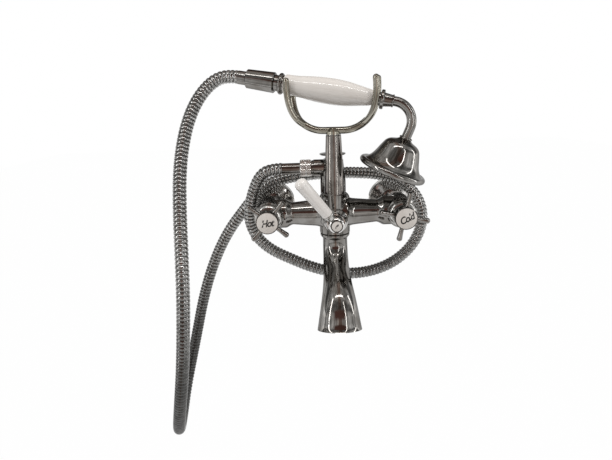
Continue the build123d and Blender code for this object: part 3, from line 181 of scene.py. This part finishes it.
def hose_corners(places, lengths, stations):
    """A loop of corners square to the line at each station, carried along it without twist."""
    corners = []
    side = Vector((0, 0, 1))
    run = 0
    for distance, radius in stations:
        while run < len(places) - 2 and lengths[run + 1] < distance:
            run += 1
        share = (distance - lengths[run]) / (lengths[run + 1] - lengths[run])
        middle = places[run].lerp(places[run + 1], share)
        before = places[max(run - 1, 0)]
        after = places[min(run + 2, len(places) - 1)]
        heading = (places[run + 1] - before).lerp(after - places[run], share).normalized()
        side = (side - heading * side.dot(heading)).normalized()
        other = heading.cross(side)
        for number in range(HOSE_SIDES):
            angle = 2 * pi * number / HOSE_SIDES
            corners.append(middle + (side * cos(angle) + other * sin(angle)) * radius)
    return corners


def make_hose(name, places):
    """A closed tube of ribbed rings along the places."""
    lengths = line_lengths(places)
    stations = hose_stations(lengths[-1])
    corners = hose_corners(places, lengths, stations)
    faces = []
    for loop in range(len(stations) - 1):
        for number in range(HOSE_SIDES):
            here = loop * HOSE_SIDES + number
            there = loop * HOSE_SIDES + (number + 1) % HOSE_SIDES
            faces.append((here, there, there + HOSE_SIDES, here + HOSE_SIDES))
    faces.append(tuple(reversed(range(HOSE_SIDES))))
    faces.append(tuple(range(len(corners) - HOSE_SIDES, len(corners))))
    piece = add_mesh(name, corners, faces)
    piece.data.shade_smooth()
    for number, face in enumerate(piece.data.polygons):
        row = number // HOSE_SIDES
        # Painted shade: the groove rows get the second, near-black material
        if row < len(stations) - 2 and row % len(HOSE_RING) in HOSE_SHADED_ROWS:
            face.material_index = 1
    return piece


# Knurled grip round the outlet's hose nut, which lies along -X from the nut's end at the body

KNURL_RIDGES = 32
KNURL_INNER_R = 0.00943
KNURL_ROOT_R = 0.00956
KNURL_RIDGE = 0.00042    # full height of a ridge
KNURL_CORNERS = 4        # of a loop, for each ridge, with the middle two raised
# distance from the nut's end, share of the ridges' height
KNURL_STATIONS = [
    (0.0006, 0.0), (0.0012, 0.8), (0.0056, 1.0), (0.0062, 0.3),
    (0.0070, 0.3), (0.0076, 1.0), (0.0123, 0.8), (0.0129, 0.0),
]


def knurl_radius(number, share):
    """Radius at a corner of a loop. The loops inside the sleeve have no share."""
    if share is None:
        return KNURL_INNER_R
    if number % KNURL_CORNERS in (1, 2):
        return KNURL_ROOT_R + KNURL_RIDGE * share
    return KNURL_ROOT_R


def make_knurl(name, nut):
    """A sleeve round a nut, with lengthwise ridges and a groove round its middle."""
    low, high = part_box(nut)
    middle_y, middle_z = (low.y + high.y) / 2, (low.z + high.z) / 2
    sides = KNURL_CORNERS * KNURL_RIDGES
    loops = [(KNURL_STATIONS[0][0], None)] + KNURL_STATIONS + [(KNURL_STATIONS[-1][0], None)]
    corners, faces = [], []
    for distance, share in loops:
        for number in range(sides):
            radius = knurl_radius(number, share)
            angle = 2 * pi * number / sides
            y, z = middle_y + radius * cos(angle), middle_z + radius * sin(angle)
            corners.append((high.x - distance, y, z))
    for loop in range(len(loops)):
        here, there = loop * sides, (loop + 1) % len(loops) * sides
        for number in range(sides):
            other = (number + 1) % sides
            faces.append((here + number, there + number, there + other, here + other))
    return add_mesh(name, corners, faces)


knurl = make_knurl("outlet_nut_knurl", "hose_nut_outlet")
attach(knurl, "root")

# Lettering on the index discs: plain words and a stroke, laid on the discs' domes

VALVE_DISC_BALL = 0.0816     # radii of the discs' domes
DIVERTER_DISC_BALL = 0.0207
LETTER_T = 0.00008
LETTER_GAP = 0.00001         # between a dome and what lies on it
WORD_SIZE = 0.0108
WORD_BOLD = 0.00027          # added round the font's outline
WORD_SLANT = 0.32
WORD_SPACING = 0.86
WORD_WIDTH = 0.86            # share of the font's own width
WORD_CURVE_STEPS = 5
HOT_TURNED = radians(6)
COLD_TURNED = radians(26)
STROKE_TURNED = radians(38)
# leaf shape, thick in its middle
STROKE_OUTLINE = [
    (-0.0031, -0.0006), (-0.0015, 0.0007), (0.0003, 0.0013), (0.0021, 0.0013),
    (0.0033, 0.0006), (0.0016, -0.0004), (-0.0009, -0.0010),
]


def lay_on_disc(mesh, disc, ball, turned):
    """Turns a flat mesh drawn in XY to face -Y, and lays it on the dome of a disc."""
    low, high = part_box(disc)
    middle_x, middle_z = (low.x + high.x) / 2, (low.z + high.z) / 2
    for corner in mesh.vertices:
        flat = Matrix.Rotation(turned, 3, "Z") @ corner.co
        sink = ball - sqrt(ball ** 2 - flat.x ** 2 - flat.y ** 2)
        corner.co = (middle_x + flat.x, low.y + sink - flat.z, middle_z + flat.y)


def make_word(word, body, disc, turned):
    """The word as a thin raised mesh on a valve's disc."""
    bpy.ops.object.select_all(action="DESELECT")
    bpy.ops.object.text_add(location=(0, 0, 0))
    text = bpy.context.object
    text.data.body = word
    text.data.size = WORD_SIZE
    text.data.offset = WORD_BOLD
    text.data.shear = WORD_SLANT
    text.data.space_character = WORD_SPACING
    text.data.extrude = LETTER_T / 2
    text.data.resolution_u = WORD_CURVE_STEPS
    text.data.align_x = "CENTER"
    text.data.align_y = "CENTER"
    bpy.ops.object.convert(target="MESH")
    piece = bpy.context.object
    piece.name = f"word_{word.lower()}"
    low = min(corner.co.y for corner in piece.data.vertices)
    high = max(corner.co.y for corner in piece.data.vertices)
    for corner in piece.data.vertices:
        corner.co.x *= WORD_WIDTH
        corner.co.y -= (low + high) / 2
        corner.co.z += LETTER_T / 2 + LETTER_GAP
    lay_on_disc(piece.data, disc, VALVE_DISC_BALL, turned)
    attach(piece, body)
    return piece


def make_stroke(name, body, disc, turned):
    """The stroke as a thin raised mesh on the diverter's disc."""
    corners = [(x, y, height) for height in (LETTER_GAP, LETTER_T) for x, y in STROKE_OUTLINE]
    count = len(STROKE_OUTLINE)
    faces = [tuple(range(count)), tuple(reversed(range(count, 2 * count)))]
    for number in range(count):
        other = (number + 1) % count
        faces.append((number + count, other + count, other, number))
    piece = add_mesh(name, corners, faces)
    lay_on_disc(piece.data, disc, DIVERTER_DISC_BALL, turned)
    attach(piece, body)
    return piece


lettering = [
    make_word("Hot", "hot_handle", "index_disc_hot", HOT_TURNED),
    make_word("Cold", "cold_handle", "index_disc_cold", COLD_TURNED),
    make_stroke("diverter_mark", "diverter_lever", "diverter_index_disc", STROKE_TURNED),
]

hose_places = route_line("hose_line", HOSE_ROUTE)
hose = make_hose("shower_hose", hose_places)
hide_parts("hose")
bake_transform(hose)

# Node helpers, then the effects that several finishes share


def add_node(tree, kind, **values):
    """A shader node with values for its inputs, whose names have an underscore for each space."""
    node = tree.nodes.new(f"ShaderNode{kind}")
    for label, value in values.items():
        node.inputs[label.replace("_", " ")].default_value = value
    return node


def add_color_mix(tree, kind="MIX"):
    """A mixing node for colours, with its share, its two colours and its result."""
    node = tree.nodes.new("ShaderNodeMix")
    node.data_type = "RGBA"
    node.blend_type = kind
    return node.inputs[0], node.inputs[6], node.inputs[7], node.outputs[2]


def effect_group(name, inputs, outputs):
    """An empty node group with named inputs (name, kind, value) and outputs (name, kind)."""
    group = bpy.data.node_groups.new(name, "ShaderNodeTree")
    for label, kind, value in inputs:
        group.interface.new_socket(label, in_out="INPUT", socket_type=kind).default_value = value
    for label, kind in outputs:
        group.interface.new_socket(label, in_out="OUTPUT", socket_type=kind)
    return group, group.nodes.new("NodeGroupInput"), group.nodes.new("NodeGroupOutput")


def make_handling_marks():
    """Faint smears left by hands and cloths: a roughness between Low and High."""
    group, given, result = effect_group(
        "handling_marks",
        [
            ("Scale", "NodeSocketFloat", 40.0),
            ("Low", "NodeSocketFloat", 0.05),
            ("High", "NodeSocketFloat", 0.14),
        ],
        [("Roughness", "NodeSocketFloat")],
    )
    place = add_node(group, "TexCoord")
    smear = add_node(group, "TexNoise", Detail=5, Distortion=1.2)
    spread = add_node(group, "MapRange", From_Min=0.35, From_Max=0.7)
    join = group.links.new
    join(place.outputs["Object"], smear.inputs["Vector"])
    join(given.outputs["Scale"], smear.inputs["Scale"])
    join(smear.outputs["Fac"], spread.inputs["Value"])
    join(given.outputs["Low"], spread.inputs["To Min"])
    join(given.outputs["High"], spread.inputs["To Max"])
    join(spread.outputs["Result"], result.inputs["Roughness"])
    return group


def make_surface_waves():
    """The slow unevenness of a polished casting or of glaze."""
    group, given, result = effect_group(
        "surface_waves",
        [("Scale", "NodeSocketFloat", 60.0), ("Height", "NodeSocketFloat", 0.00006)],
        [("Normal", "NodeSocketVector")],
    )
    place = add_node(group, "TexCoord")
    wave = add_node(group, "TexNoise", Detail=1.5)
    raised = add_node(group, "Bump")
    join = group.links.new
    join(place.outputs["Object"], wave.inputs["Vector"])
    join(given.outputs["Scale"], wave.inputs["Scale"])
    join(wave.outputs["Fac"], raised.inputs["Height"])
    join(given.outputs["Height"], raised.inputs["Distance"])
    join(raised.outputs["Normal"], result.inputs["Normal"])
    return group


def make_patchy_tone():
    """A colour that drifts between two tones in soft patches."""
    group, given, result = effect_group(
        "patchy_tone",
        [
            ("Clean", "NodeSocketColor", (0.6, 0.6, 0.6, 1)),
            ("Dull", "NodeSocketColor", (0.4, 0.4, 0.4, 1)),
            ("Scale", "NodeSocketFloat", 25.0),
        ],
        [("Color", "NodeSocketColor")],
    )
    place = add_node(group, "TexCoord")
    patch = add_node(group, "TexNoise", Detail=4)
    spread = add_node(group, "MapRange", From_Min=0.38, From_Max=0.66)
    share, first, second, mixed = add_color_mix(group)
    join = group.links.new
    join(place.outputs["Object"], patch.inputs["Vector"])
    join(given.outputs["Scale"], patch.inputs["Scale"])
    join(patch.outputs["Fac"], spread.inputs["Value"])
    join(spread.outputs["Result"], share)
    join(given.outputs["Clean"], first)
    join(given.outputs["Dull"], second)
    join(mixed, result.inputs["Color"])
    return group


def make_painted_shade_fade():
    """Painted shade: a colour that darkens evenly as Place goes from Start to End, down to the share Least.
    """
    group, given, result = effect_group(
        "painted_shade_fade",
        [
            ("Color", "NodeSocketColor", (0.5, 0.5, 0.5, 1)),
            ("Place", "NodeSocketFloat", 0.0),
            ("Start", "NodeSocketFloat", 0.0),
            ("End", "NodeSocketFloat", 1.0),
            ("Least", "NodeSocketFloat", 0.5),
        ],
        [("Color", "NodeSocketColor")],
    )
    spread = add_node(group, "MapRange", To_Min=1.0)
    share, first, second, mixed = add_color_mix(group, "MULTIPLY")
    share.default_value = 1.0
    join = group.links.new
    join(given.outputs["Place"], spread.inputs["Value"])
    join(given.outputs["Start"], spread.inputs["From Min"])
    join(given.outputs["End"], spread.inputs["From Max"])
    join(given.outputs["Least"], spread.inputs["To Max"])
    join(given.outputs["Color"], first)
    join(spread.outputs["Result"], second)
    join(mixed, result.inputs["Color"])
    return group


handling_marks = make_handling_marks()
surface_waves = make_surface_waves()
patchy_tone = make_patchy_tone()
painted_shade_fade = make_painted_shade_fade()


def place_group(tree, group, **values):
    """One use of a node group, with values for its inputs."""
    node = tree.nodes.new("ShaderNodeGroup")
    node.node_tree = group
    for label, value in values.items():
        node.inputs[label].default_value = value
    return node


# Finishes: one material for each slot, and some for single nodes

# scale, height of the surface's waves
CAST_WAVES = (60.0, 0.00016)
FITTING_WAVES = (150.0, 0.00022)
GLAZE_WAVES = (45.0, 0.00008)
METAL = 1.0
PLAIN = 0.0


def make_finish(name, clean, dull, metallic, patches, rough, marks=40.0, waves=None, **constants):
    """A Principled material: two tones in patches, a roughness range with marks, and waves if given.

    Patches and marks are scales, rough is (low, high) and waves are (scale, height).
    """
    material = bpy.data.materials.new(name)
    material.use_nodes = True
    tree = material.node_tree
    shader = tree.nodes["Principled BSDF"]
    shader.inputs["Metallic"].default_value = metallic
    for label, value in constants.items():
        shader.inputs[label.replace("_", " ")].default_value = value
    tone = place_group(tree, patchy_tone, Clean=(*clean, 1), Dull=(*dull, 1), Scale=patches)
    tree.links.new(tone.outputs["Color"], shader.inputs["Base Color"])
    smears = place_group(tree, handling_marks, Scale=marks, Low=rough[0], High=rough[1])
    tree.links.new(smears.outputs["Roughness"], shader.inputs["Roughness"])
    if waves:
        bumps = place_group(tree, surface_waves, Scale=waves[0], Height=waves[1])
        tree.links.new(bumps.outputs["Normal"], shader.inputs["Normal"])
    return material


def make_chrome(name, clean, dull, rough=(0.05, 0.13), waves=CAST_WAVES):
    """Polished chrome, dulled where it is seen edge on."""
    return make_finish(
        name, clean, dull, METAL,
        patches=90.0, rough=rough, waves=waves, Specular_Tint=(0.5, 0.5, 0.5, 1))


def make_glaze(name, clean, dull, coat):
    """Glazed ceramic under a clear coat of that weight."""
    return make_finish(
        name, clean, dull, PLAIN,
        patches=18.0, rough=(0.10, 0.18), waves=GLAZE_WAVES, Coat_Weight=coat, Coat_Roughness=0.04)


def paint_shade_along(material, axis, start, end, least):
    """Paints shade into the material's base colour: darker along an axis of its object, down to its least
    share.
    """
    tree = material.node_tree
    color = tree.nodes["Principled BSDF"].inputs["Base Color"]
    place = add_node(tree, "TexCoord")
    parts = add_node(tree, "SeparateXYZ")
    fade = place_group(tree, painted_shade_fade, Start=start, End=end, Least=least)
    join = tree.links.new
    join(place.outputs["Object"], parts.inputs["Vector"])
    join(parts.outputs[axis], fade.inputs["Place"])
    join(color.links[0].from_socket, fade.inputs["Color"])
    join(fade.outputs["Color"], color)


# The first tone is the clean one, the second the dull one
FINISHES = {
    "chrome_plate": make_chrome(
        "polished_chrome", (0.285, 0.276, 0.264), (0.20, 0.188, 0.174), rough=(0.05, 0.12)),
    "satin_chrome": make_finish(
        "satin_chrome", (0.80, 0.785, 0.76), (0.56, 0.545, 0.525), METAL, patches=260.0, rough=(0.20, 0.32)),
    "hose_steel": make_finish(
        "hose_strip", (0.42, 0.415, 0.405), (0.23, 0.225, 0.215), METAL,
        patches=220.0, rough=(0.07, 0.15), marks=160.0),
    "steel": make_finish(
        "plain_steel", (0.52, 0.52, 0.53), (0.40, 0.40, 0.41), METAL, patches=80.0, rough=(0.25, 0.4)),
    "brass": make_finish(
        "plain_brass", (0.72, 0.55, 0.26), (0.56, 0.41, 0.19), METAL, patches=60.0, rough=(0.22, 0.36)),
    "ceramic": make_glaze(
        "white_glaze", (0.795, 0.745, 0.695), (0.74, 0.685, 0.635), coat=0.5),
    "rubber": make_finish(
        "black_rubber", (0.03, 0.03, 0.03), (0.05, 0.05, 0.05), PLAIN, patches=90.0, rough=(0.6, 0.75)),
    "fibre": make_finish(
        "red_fibre", (0.30, 0.09, 0.07), (0.22, 0.06, 0.05), PLAIN, patches=90.0, rough=(0.7, 0.85)),
    "nylon": make_finish(
        "grey_nylon", (0.62, 0.62, 0.60), (0.54, 0.54, 0.52), PLAIN, patches=60.0, rough=(0.35, 0.5)),
}

# Chrome copies with painted highlights, painted shade and painted reflections, and a glaze copy with painted
# light, for nodes whose tone differs from the large castings'
# Painted highlight: a much lighter copy of the chrome for fittings that show bright reflections
PAINTED_HIGHLIGHT_CHROME = make_chrome("painted_highlight_chrome", (0.84, 0.825, 0.805), (0.60, 0.585, 0.565), waves=FITTING_WAVES)
# Painted highlight, weaker: a lighter copy of the chrome for the bonnets and the lever's stud
PAINTED_HALF_HIGHLIGHT_CHROME = make_chrome("painted_half_highlight_chrome", (0.62, 0.61, 0.59), (0.43, 0.42, 0.40), waves=FITTING_WAVES)
# Painted reflection: a warmer, lighter copy of the chrome for the cradle
PAINTED_WARM_REFLECTION_CHROME = make_chrome("painted_warm_reflection_chrome", (0.37, 0.35, 0.30), (0.25, 0.23, 0.185))
# Painted reflection: a darker, browner copy of the chrome for the column
PAINTED_BROWN_REFLECTION_CHROME = make_chrome("painted_brown_reflection_chrome", (0.25, 0.232, 0.216), (0.165, 0.15, 0.138))
# Painted shade: a near-black copy of the chrome for the index discs' rims
PAINTED_SHADE_CHROME = make_chrome("painted_shade_chrome", (0.10, 0.095, 0.09), (0.06, 0.055, 0.05))
# Painted light: a lighter copy of the white glaze, with a full coat, to brighten the lever that its
# orientation leaves darker
PAINTED_LIGHT_LEVER_GLAZE = make_glaze("painted_light_lever_glaze", (0.90, 0.855, 0.81), (0.85, 0.80, 0.755), coat=1.0)
OWN_FINISHES = {"cradle": PAINTED_WARM_REFLECTION_CHROME, "column": PAINTED_BROWN_REFLECTION_CHROME, "lever": PAINTED_LIGHT_LEVER_GLAZE}
for finish, fittings in (
    (PAINTED_HIGHLIGHT_CHROME, (
        "rosette_hot", "rosette_cold", "wall_union_hot", "wall_union_cold", "union_nuts",
        "diverter_hub", "diverter_bonnet",
    )),
    (PAINTED_HALF_HIGHLIGHT_CHROME, ("bonnet_hot", "bonnet_cold", "lever_stud")),
    (PAINTED_SHADE_CHROME, ("index_rim_hot", "index_rim_cold", "diverter_index_rim")),
):
    for fitting in fittings:
        OWN_FINISHES[fitting] = finish

for entry in frame["record"]["subparts"]:
    node = frame["nodes"][entry["node"]]
    node.data.materials.clear()
    node.data.materials.append(OWN_FINISHES.get(entry["node"], FINISHES[entry["material_slot"]]))

# Painted shade and painted reflection: the hose's base colour is darkened towards the wall and its low end,
# where the real one mirrors a darker room
paint_shade_along(FINISHES["hose_steel"], "Y", start=-0.055, end=-0.03, least=0.92)
paint_shade_along(FINISHES["hose_steel"], "Z", start=-0.02, end=-0.17, least=0.24)
# Painted shade: near-black steel for the grooves between the hose's rings, where shade falls
GROOVE_SHADE = make_finish(
    "painted_groove_shade", (0.06, 0.056, 0.05), (0.03, 0.028, 0.025), 0.6, patches=200.0, rough=(0.35, 0.5))
hose.data.materials.append(FINISHES["hose_steel"])
hose.data.materials.append(GROOVE_SHADE)
knurl.data.materials.append(FINISHES["satin_chrome"])
ENAMEL = make_finish(
    "dark_enamel", (0.012, 0.011, 0.010), (0.03, 0.027, 0.024), PLAIN, patches=300.0, rough=(0.35, 0.5))
for piece in lettering:
    piece.data.materials.append(ENAMEL)

# Floor: far enough below and behind for the whole view

FLOOR_FRONT = -0.85
FLOOR_BACK = 7.0
FLOOR_LEVEL = -0.62
FLOOR_GREY = 0.62
FLOOR_ROUGHNESS = 0.9
FLOOR_GLOW = 0.985           # share of plain white that the camera and reflections see


def make_white_floor():
    """Pale floor that the camera and reflections see as white, with a trace of the shadow on it."""
    material = bpy.data.materials.new("pale_floor")
    material.use_nodes = True
    tree = material.node_tree
    paint = tree.nodes["Principled BSDF"]
    paint.inputs["Base Color"].default_value = (FLOOR_GREY, FLOOR_GREY, FLOOR_GREY, 1)
    paint.inputs["Roughness"].default_value = FLOOR_ROUGHNESS
    glow = add_node(tree, "Emission", Color=(1, 1, 1, 1))
    light_path = add_node(tree, "LightPath")
    seen = add_node(tree, "Math")
    seen.operation = "MAXIMUM"
    seen_all = add_node(tree, "Math")
    seen_all.operation = "MAXIMUM"
    share = add_node(tree, "Math")
    share.operation = "MULTIPLY"
    share.inputs[1].default_value = FLOOR_GLOW
    either = add_node(tree, "MixShader")
    join = tree.links.new
    join(light_path.outputs["Is Camera Ray"], seen.inputs[0])
    join(light_path.outputs["Is Glossy Ray"], seen.inputs[1])
    join(seen.outputs[0], seen_all.inputs[0])
    join(light_path.outputs["Is Transmission Ray"], seen_all.inputs[1])
    join(seen_all.outputs[0], share.inputs[0])
    join(share.outputs[0], either.inputs["Fac"])
    join(paint.outputs["BSDF"], either.inputs[1])
    join(glow.outputs["Emission"], either.inputs[2])
    join(either.outputs["Shader"], tree.nodes["Material Output"].inputs["Surface"])
    return material


bpy.ops.object.select_all(action="DESELECT")
bpy.ops.mesh.primitive_plane_add(
    size=FLOOR_BACK - FLOOR_FRONT,
    location=(0, (FLOOR_BACK + FLOOR_FRONT) / 2, FLOOR_LEVEL),
)
floor = bpy.context.object
floor.name = "floor"
floor.data.materials.append(make_white_floor())

# What the metal mirrors: tones of the room from its left side to its right, and grey levels round it,
# from behind at 0 to below at 0.25, in front at 0.5, above at 0.75 and behind again at 1
ROOM_ACROSS = [
    (0.00, (0.90, 0.90, 0.90)), (0.10, (0.55, 0.55, 0.54)), (0.17, (0.95, 0.95, 0.94)),
    (0.22, (0.62, 0.61, 0.60)), (0.30, (0.85, 0.84, 0.82)), (0.36, (0.55, 0.53, 0.50)),
    (0.41, (0.80, 0.77, 0.74)), (0.45, (0.42, 0.31, 0.26)), (0.50, (0.56, 0.44, 0.39)),
    (0.56, (0.36, 0.25, 0.20)), (0.60, (0.84, 0.81, 0.79)), (0.64, (0.60, 0.58, 0.56)),
    (0.72, (0.80, 0.79, 0.78)), (0.80, (0.40, 0.40, 0.39)), (0.90, (0.92, 0.92, 0.92)),
    (1.00, (0.80, 0.80, 0.80)),
]
ROOM_ROUND = [
    (0.00, 0.90), (0.20, 0.60), (0.34, 0.40), (0.42, 0.34), (0.455, 0.62), (0.50, 0.40),
    (0.53, 0.55), (0.56, 0.45), (0.585, 0.16), (0.63, 0.14), (0.66, 0.30), (0.68, 0.55),
    (0.72, 0.34), (0.76, 0.42), (0.80, 0.30), (0.82, 0.10), (0.92, 0.09), (1.00, 0.60),
]
CLUTTER_SCALE = 9.0
CLUTTER_DETAIL = 5.0
CLUTTER_NOISE = (0.32, 0.68)     # stretch of the noise that spans the next range
CLUTTER_LEVELS = (0.9, 3.3)
# A brown thing in front, a little above the level: its tone, its height as an angle, then how far
# from its middle it is gone and how far it is full, upwards as angles and sideways as sines
BROWN_THING = (0.17, 0.085, 0.07)
BROWN_HEIGHT = 0.33
BROWN_REACH_UP = (0.22, 0.14)
BROWN_REACH_SIDE = (0.62, 0.45)
# White behind the object: how far back it begins and is full, how far up or down it is gone and is full
BEHIND_FROM = (0.35, 0.6)
BEHIND_REACH = (0.45, 0.25)
# Plain light for what isn't glossy: heights of its darkest and lightest direction, and their levels
SKY_HEIGHTS = (-0.35, 0.9)
SKY_LEVELS = (0.08, 1.06)
WHITE = (1.0, 1.0, 1.0)


def fill_ramp(ramp, stops):
    """Gives a colour ramp its stops: (position, grey) or (position, (red, green, blue))."""
    colors = []
    for place, tone in stops:
        red, green, blue = tone if isinstance(tone, tuple) else (tone, tone, tone)
        colors.append((place, (red, green, blue, 1)))
    for element, (place, color) in zip(ramp.elements, (colors[0], colors[-1])):
        element.position = place
        element.color = color
    for place, color in colors[1:-1]:
        ramp.elements.new(place).color = color


def light_the_room():
    """White for the camera, a streaky room with white behind it for the metal, plain light for the rest."""
    world = bpy.data.worlds.new("studio")
    bpy.context.scene.world = world
    world.use_nodes = True
    tree = world.node_tree
    join = tree.links.new

    def set_input(socket, value):
        if isinstance(value, (int, float)):
            socket.default_value = value
        elif isinstance(value, tuple):
            socket.default_value = (*value, 1)
        else:
            join(value, socket)

    def calculate(operation, *values):
        node = add_node(tree, "Math")
        node.operation = operation
        for number, value in enumerate(values):
            set_input(node.inputs[number], value)
        return node.outputs[0]

    def between(value, given, wanted=(0.0, 1.0)):
        """The value's share of the given range, spread over the wanted one."""
        (low, high), (least, most) = given, wanted
        node = add_node(tree, "MapRange", From_Min=low, From_Max=high, To_Min=least, To_Max=most)
        join(value, node.inputs["Value"])
        return node.outputs["Result"]

    def mix(kind, share, first, second):
        *sockets, mixed = add_color_mix(tree, kind)
        for socket, value in zip(sockets, (share, first, second)):
            set_input(socket, value)
        return mixed

    def ramp(stops, share):
        node = add_node(tree, "ValToRGB")
        fill_ramp(node.color_ramp, stops)
        join(share, node.inputs["Fac"])
        return node.outputs["Color"]

    direction = add_node(tree, "TexCoord").outputs["Generated"]
    parts = add_node(tree, "SeparateXYZ")
    join(direction, parts.inputs["Vector"])
    x, y, z = parts.outputs
    turn = calculate("ARCTAN2", z, calculate("MULTIPLY", y, -1.0))
    across = ramp(ROOM_ACROSS, between(x, (-1, 1)))
    around = ramp(ROOM_ROUND, between(turn, (-pi, pi)))
    clutter = add_node(tree, "TexNoise", Scale=CLUTTER_SCALE, Detail=CLUTTER_DETAIL)
    join(direction, clutter.inputs["Vector"])
    broken = between(clutter.outputs["Fac"], CLUTTER_NOISE, CLUTTER_LEVELS)
    room = mix("MULTIPLY", 1.0, across, around)
    room = mix("MULTIPLY", 1.0, room, broken)
    off_side = calculate("ABSOLUTE", x)
    off_height = calculate("ABSOLUTE", calculate("SUBTRACT", turn, BROWN_HEIGHT))
    brown = calculate("MULTIPLY", between(off_side, BROWN_REACH_SIDE), between(off_height, BROWN_REACH_UP))
    room = mix("MIX", brown, room, BROWN_THING)
    level = between(calculate("ABSOLUTE", z), BEHIND_REACH)
    behind = calculate("MULTIPLY", between(y, BEHIND_FROM), level)
    mirrored = mix("MIX", behind, room, WHITE)
    sky = between(z, SKY_HEIGHTS, SKY_LEVELS)
    light_path = add_node(tree, "LightPath")
    color = mix("MIX", light_path.outputs["Is Glossy Ray"], sky, mirrored)
    color = mix("MIX", light_path.outputs["Is Camera Ray"], color, WHITE)
    join(color, tree.nodes["Background"].inputs["Color"])


light_the_room()

# Lamps: narrow strips, which draw the bright lines on the metal

LAMP_AIM = Vector((0, -0.05, 0))
# name, place, width, height, watts
LAMPS = [
    ("left_strip", (-0.80, -0.55, 0.35), 0.06, 0.9, 1.6),
    ("right_strip", (0.50, -0.85, 0.30), 0.035, 0.9, 0.9),
    ("far_right_strip", (0.95, -0.15, 0.25), 0.05, 0.7, 0.9),
    ("top_strip", (0.0, -0.55, 1.0), 0.9, 0.05, 1.8),
]


def add_lamp(name, place, width, height, watts):
    """A rectangular lamp turned to the object's middle."""
    lamp = bpy.data.lights.new(name, "AREA")
    lamp.shape = "RECTANGLE"
    lamp.size = width
    lamp.size_y = height
    lamp.energy = watts
    holder = bpy.data.objects.new(name, lamp)
    holder.location = place
    holder.rotation_euler = (LAMP_AIM - Vector(place)).to_track_quat("-Z", "Y").to_euler()
    bpy.context.collection.objects.link(holder)


for lamp in LAMPS:
    add_lamp(*lamp)
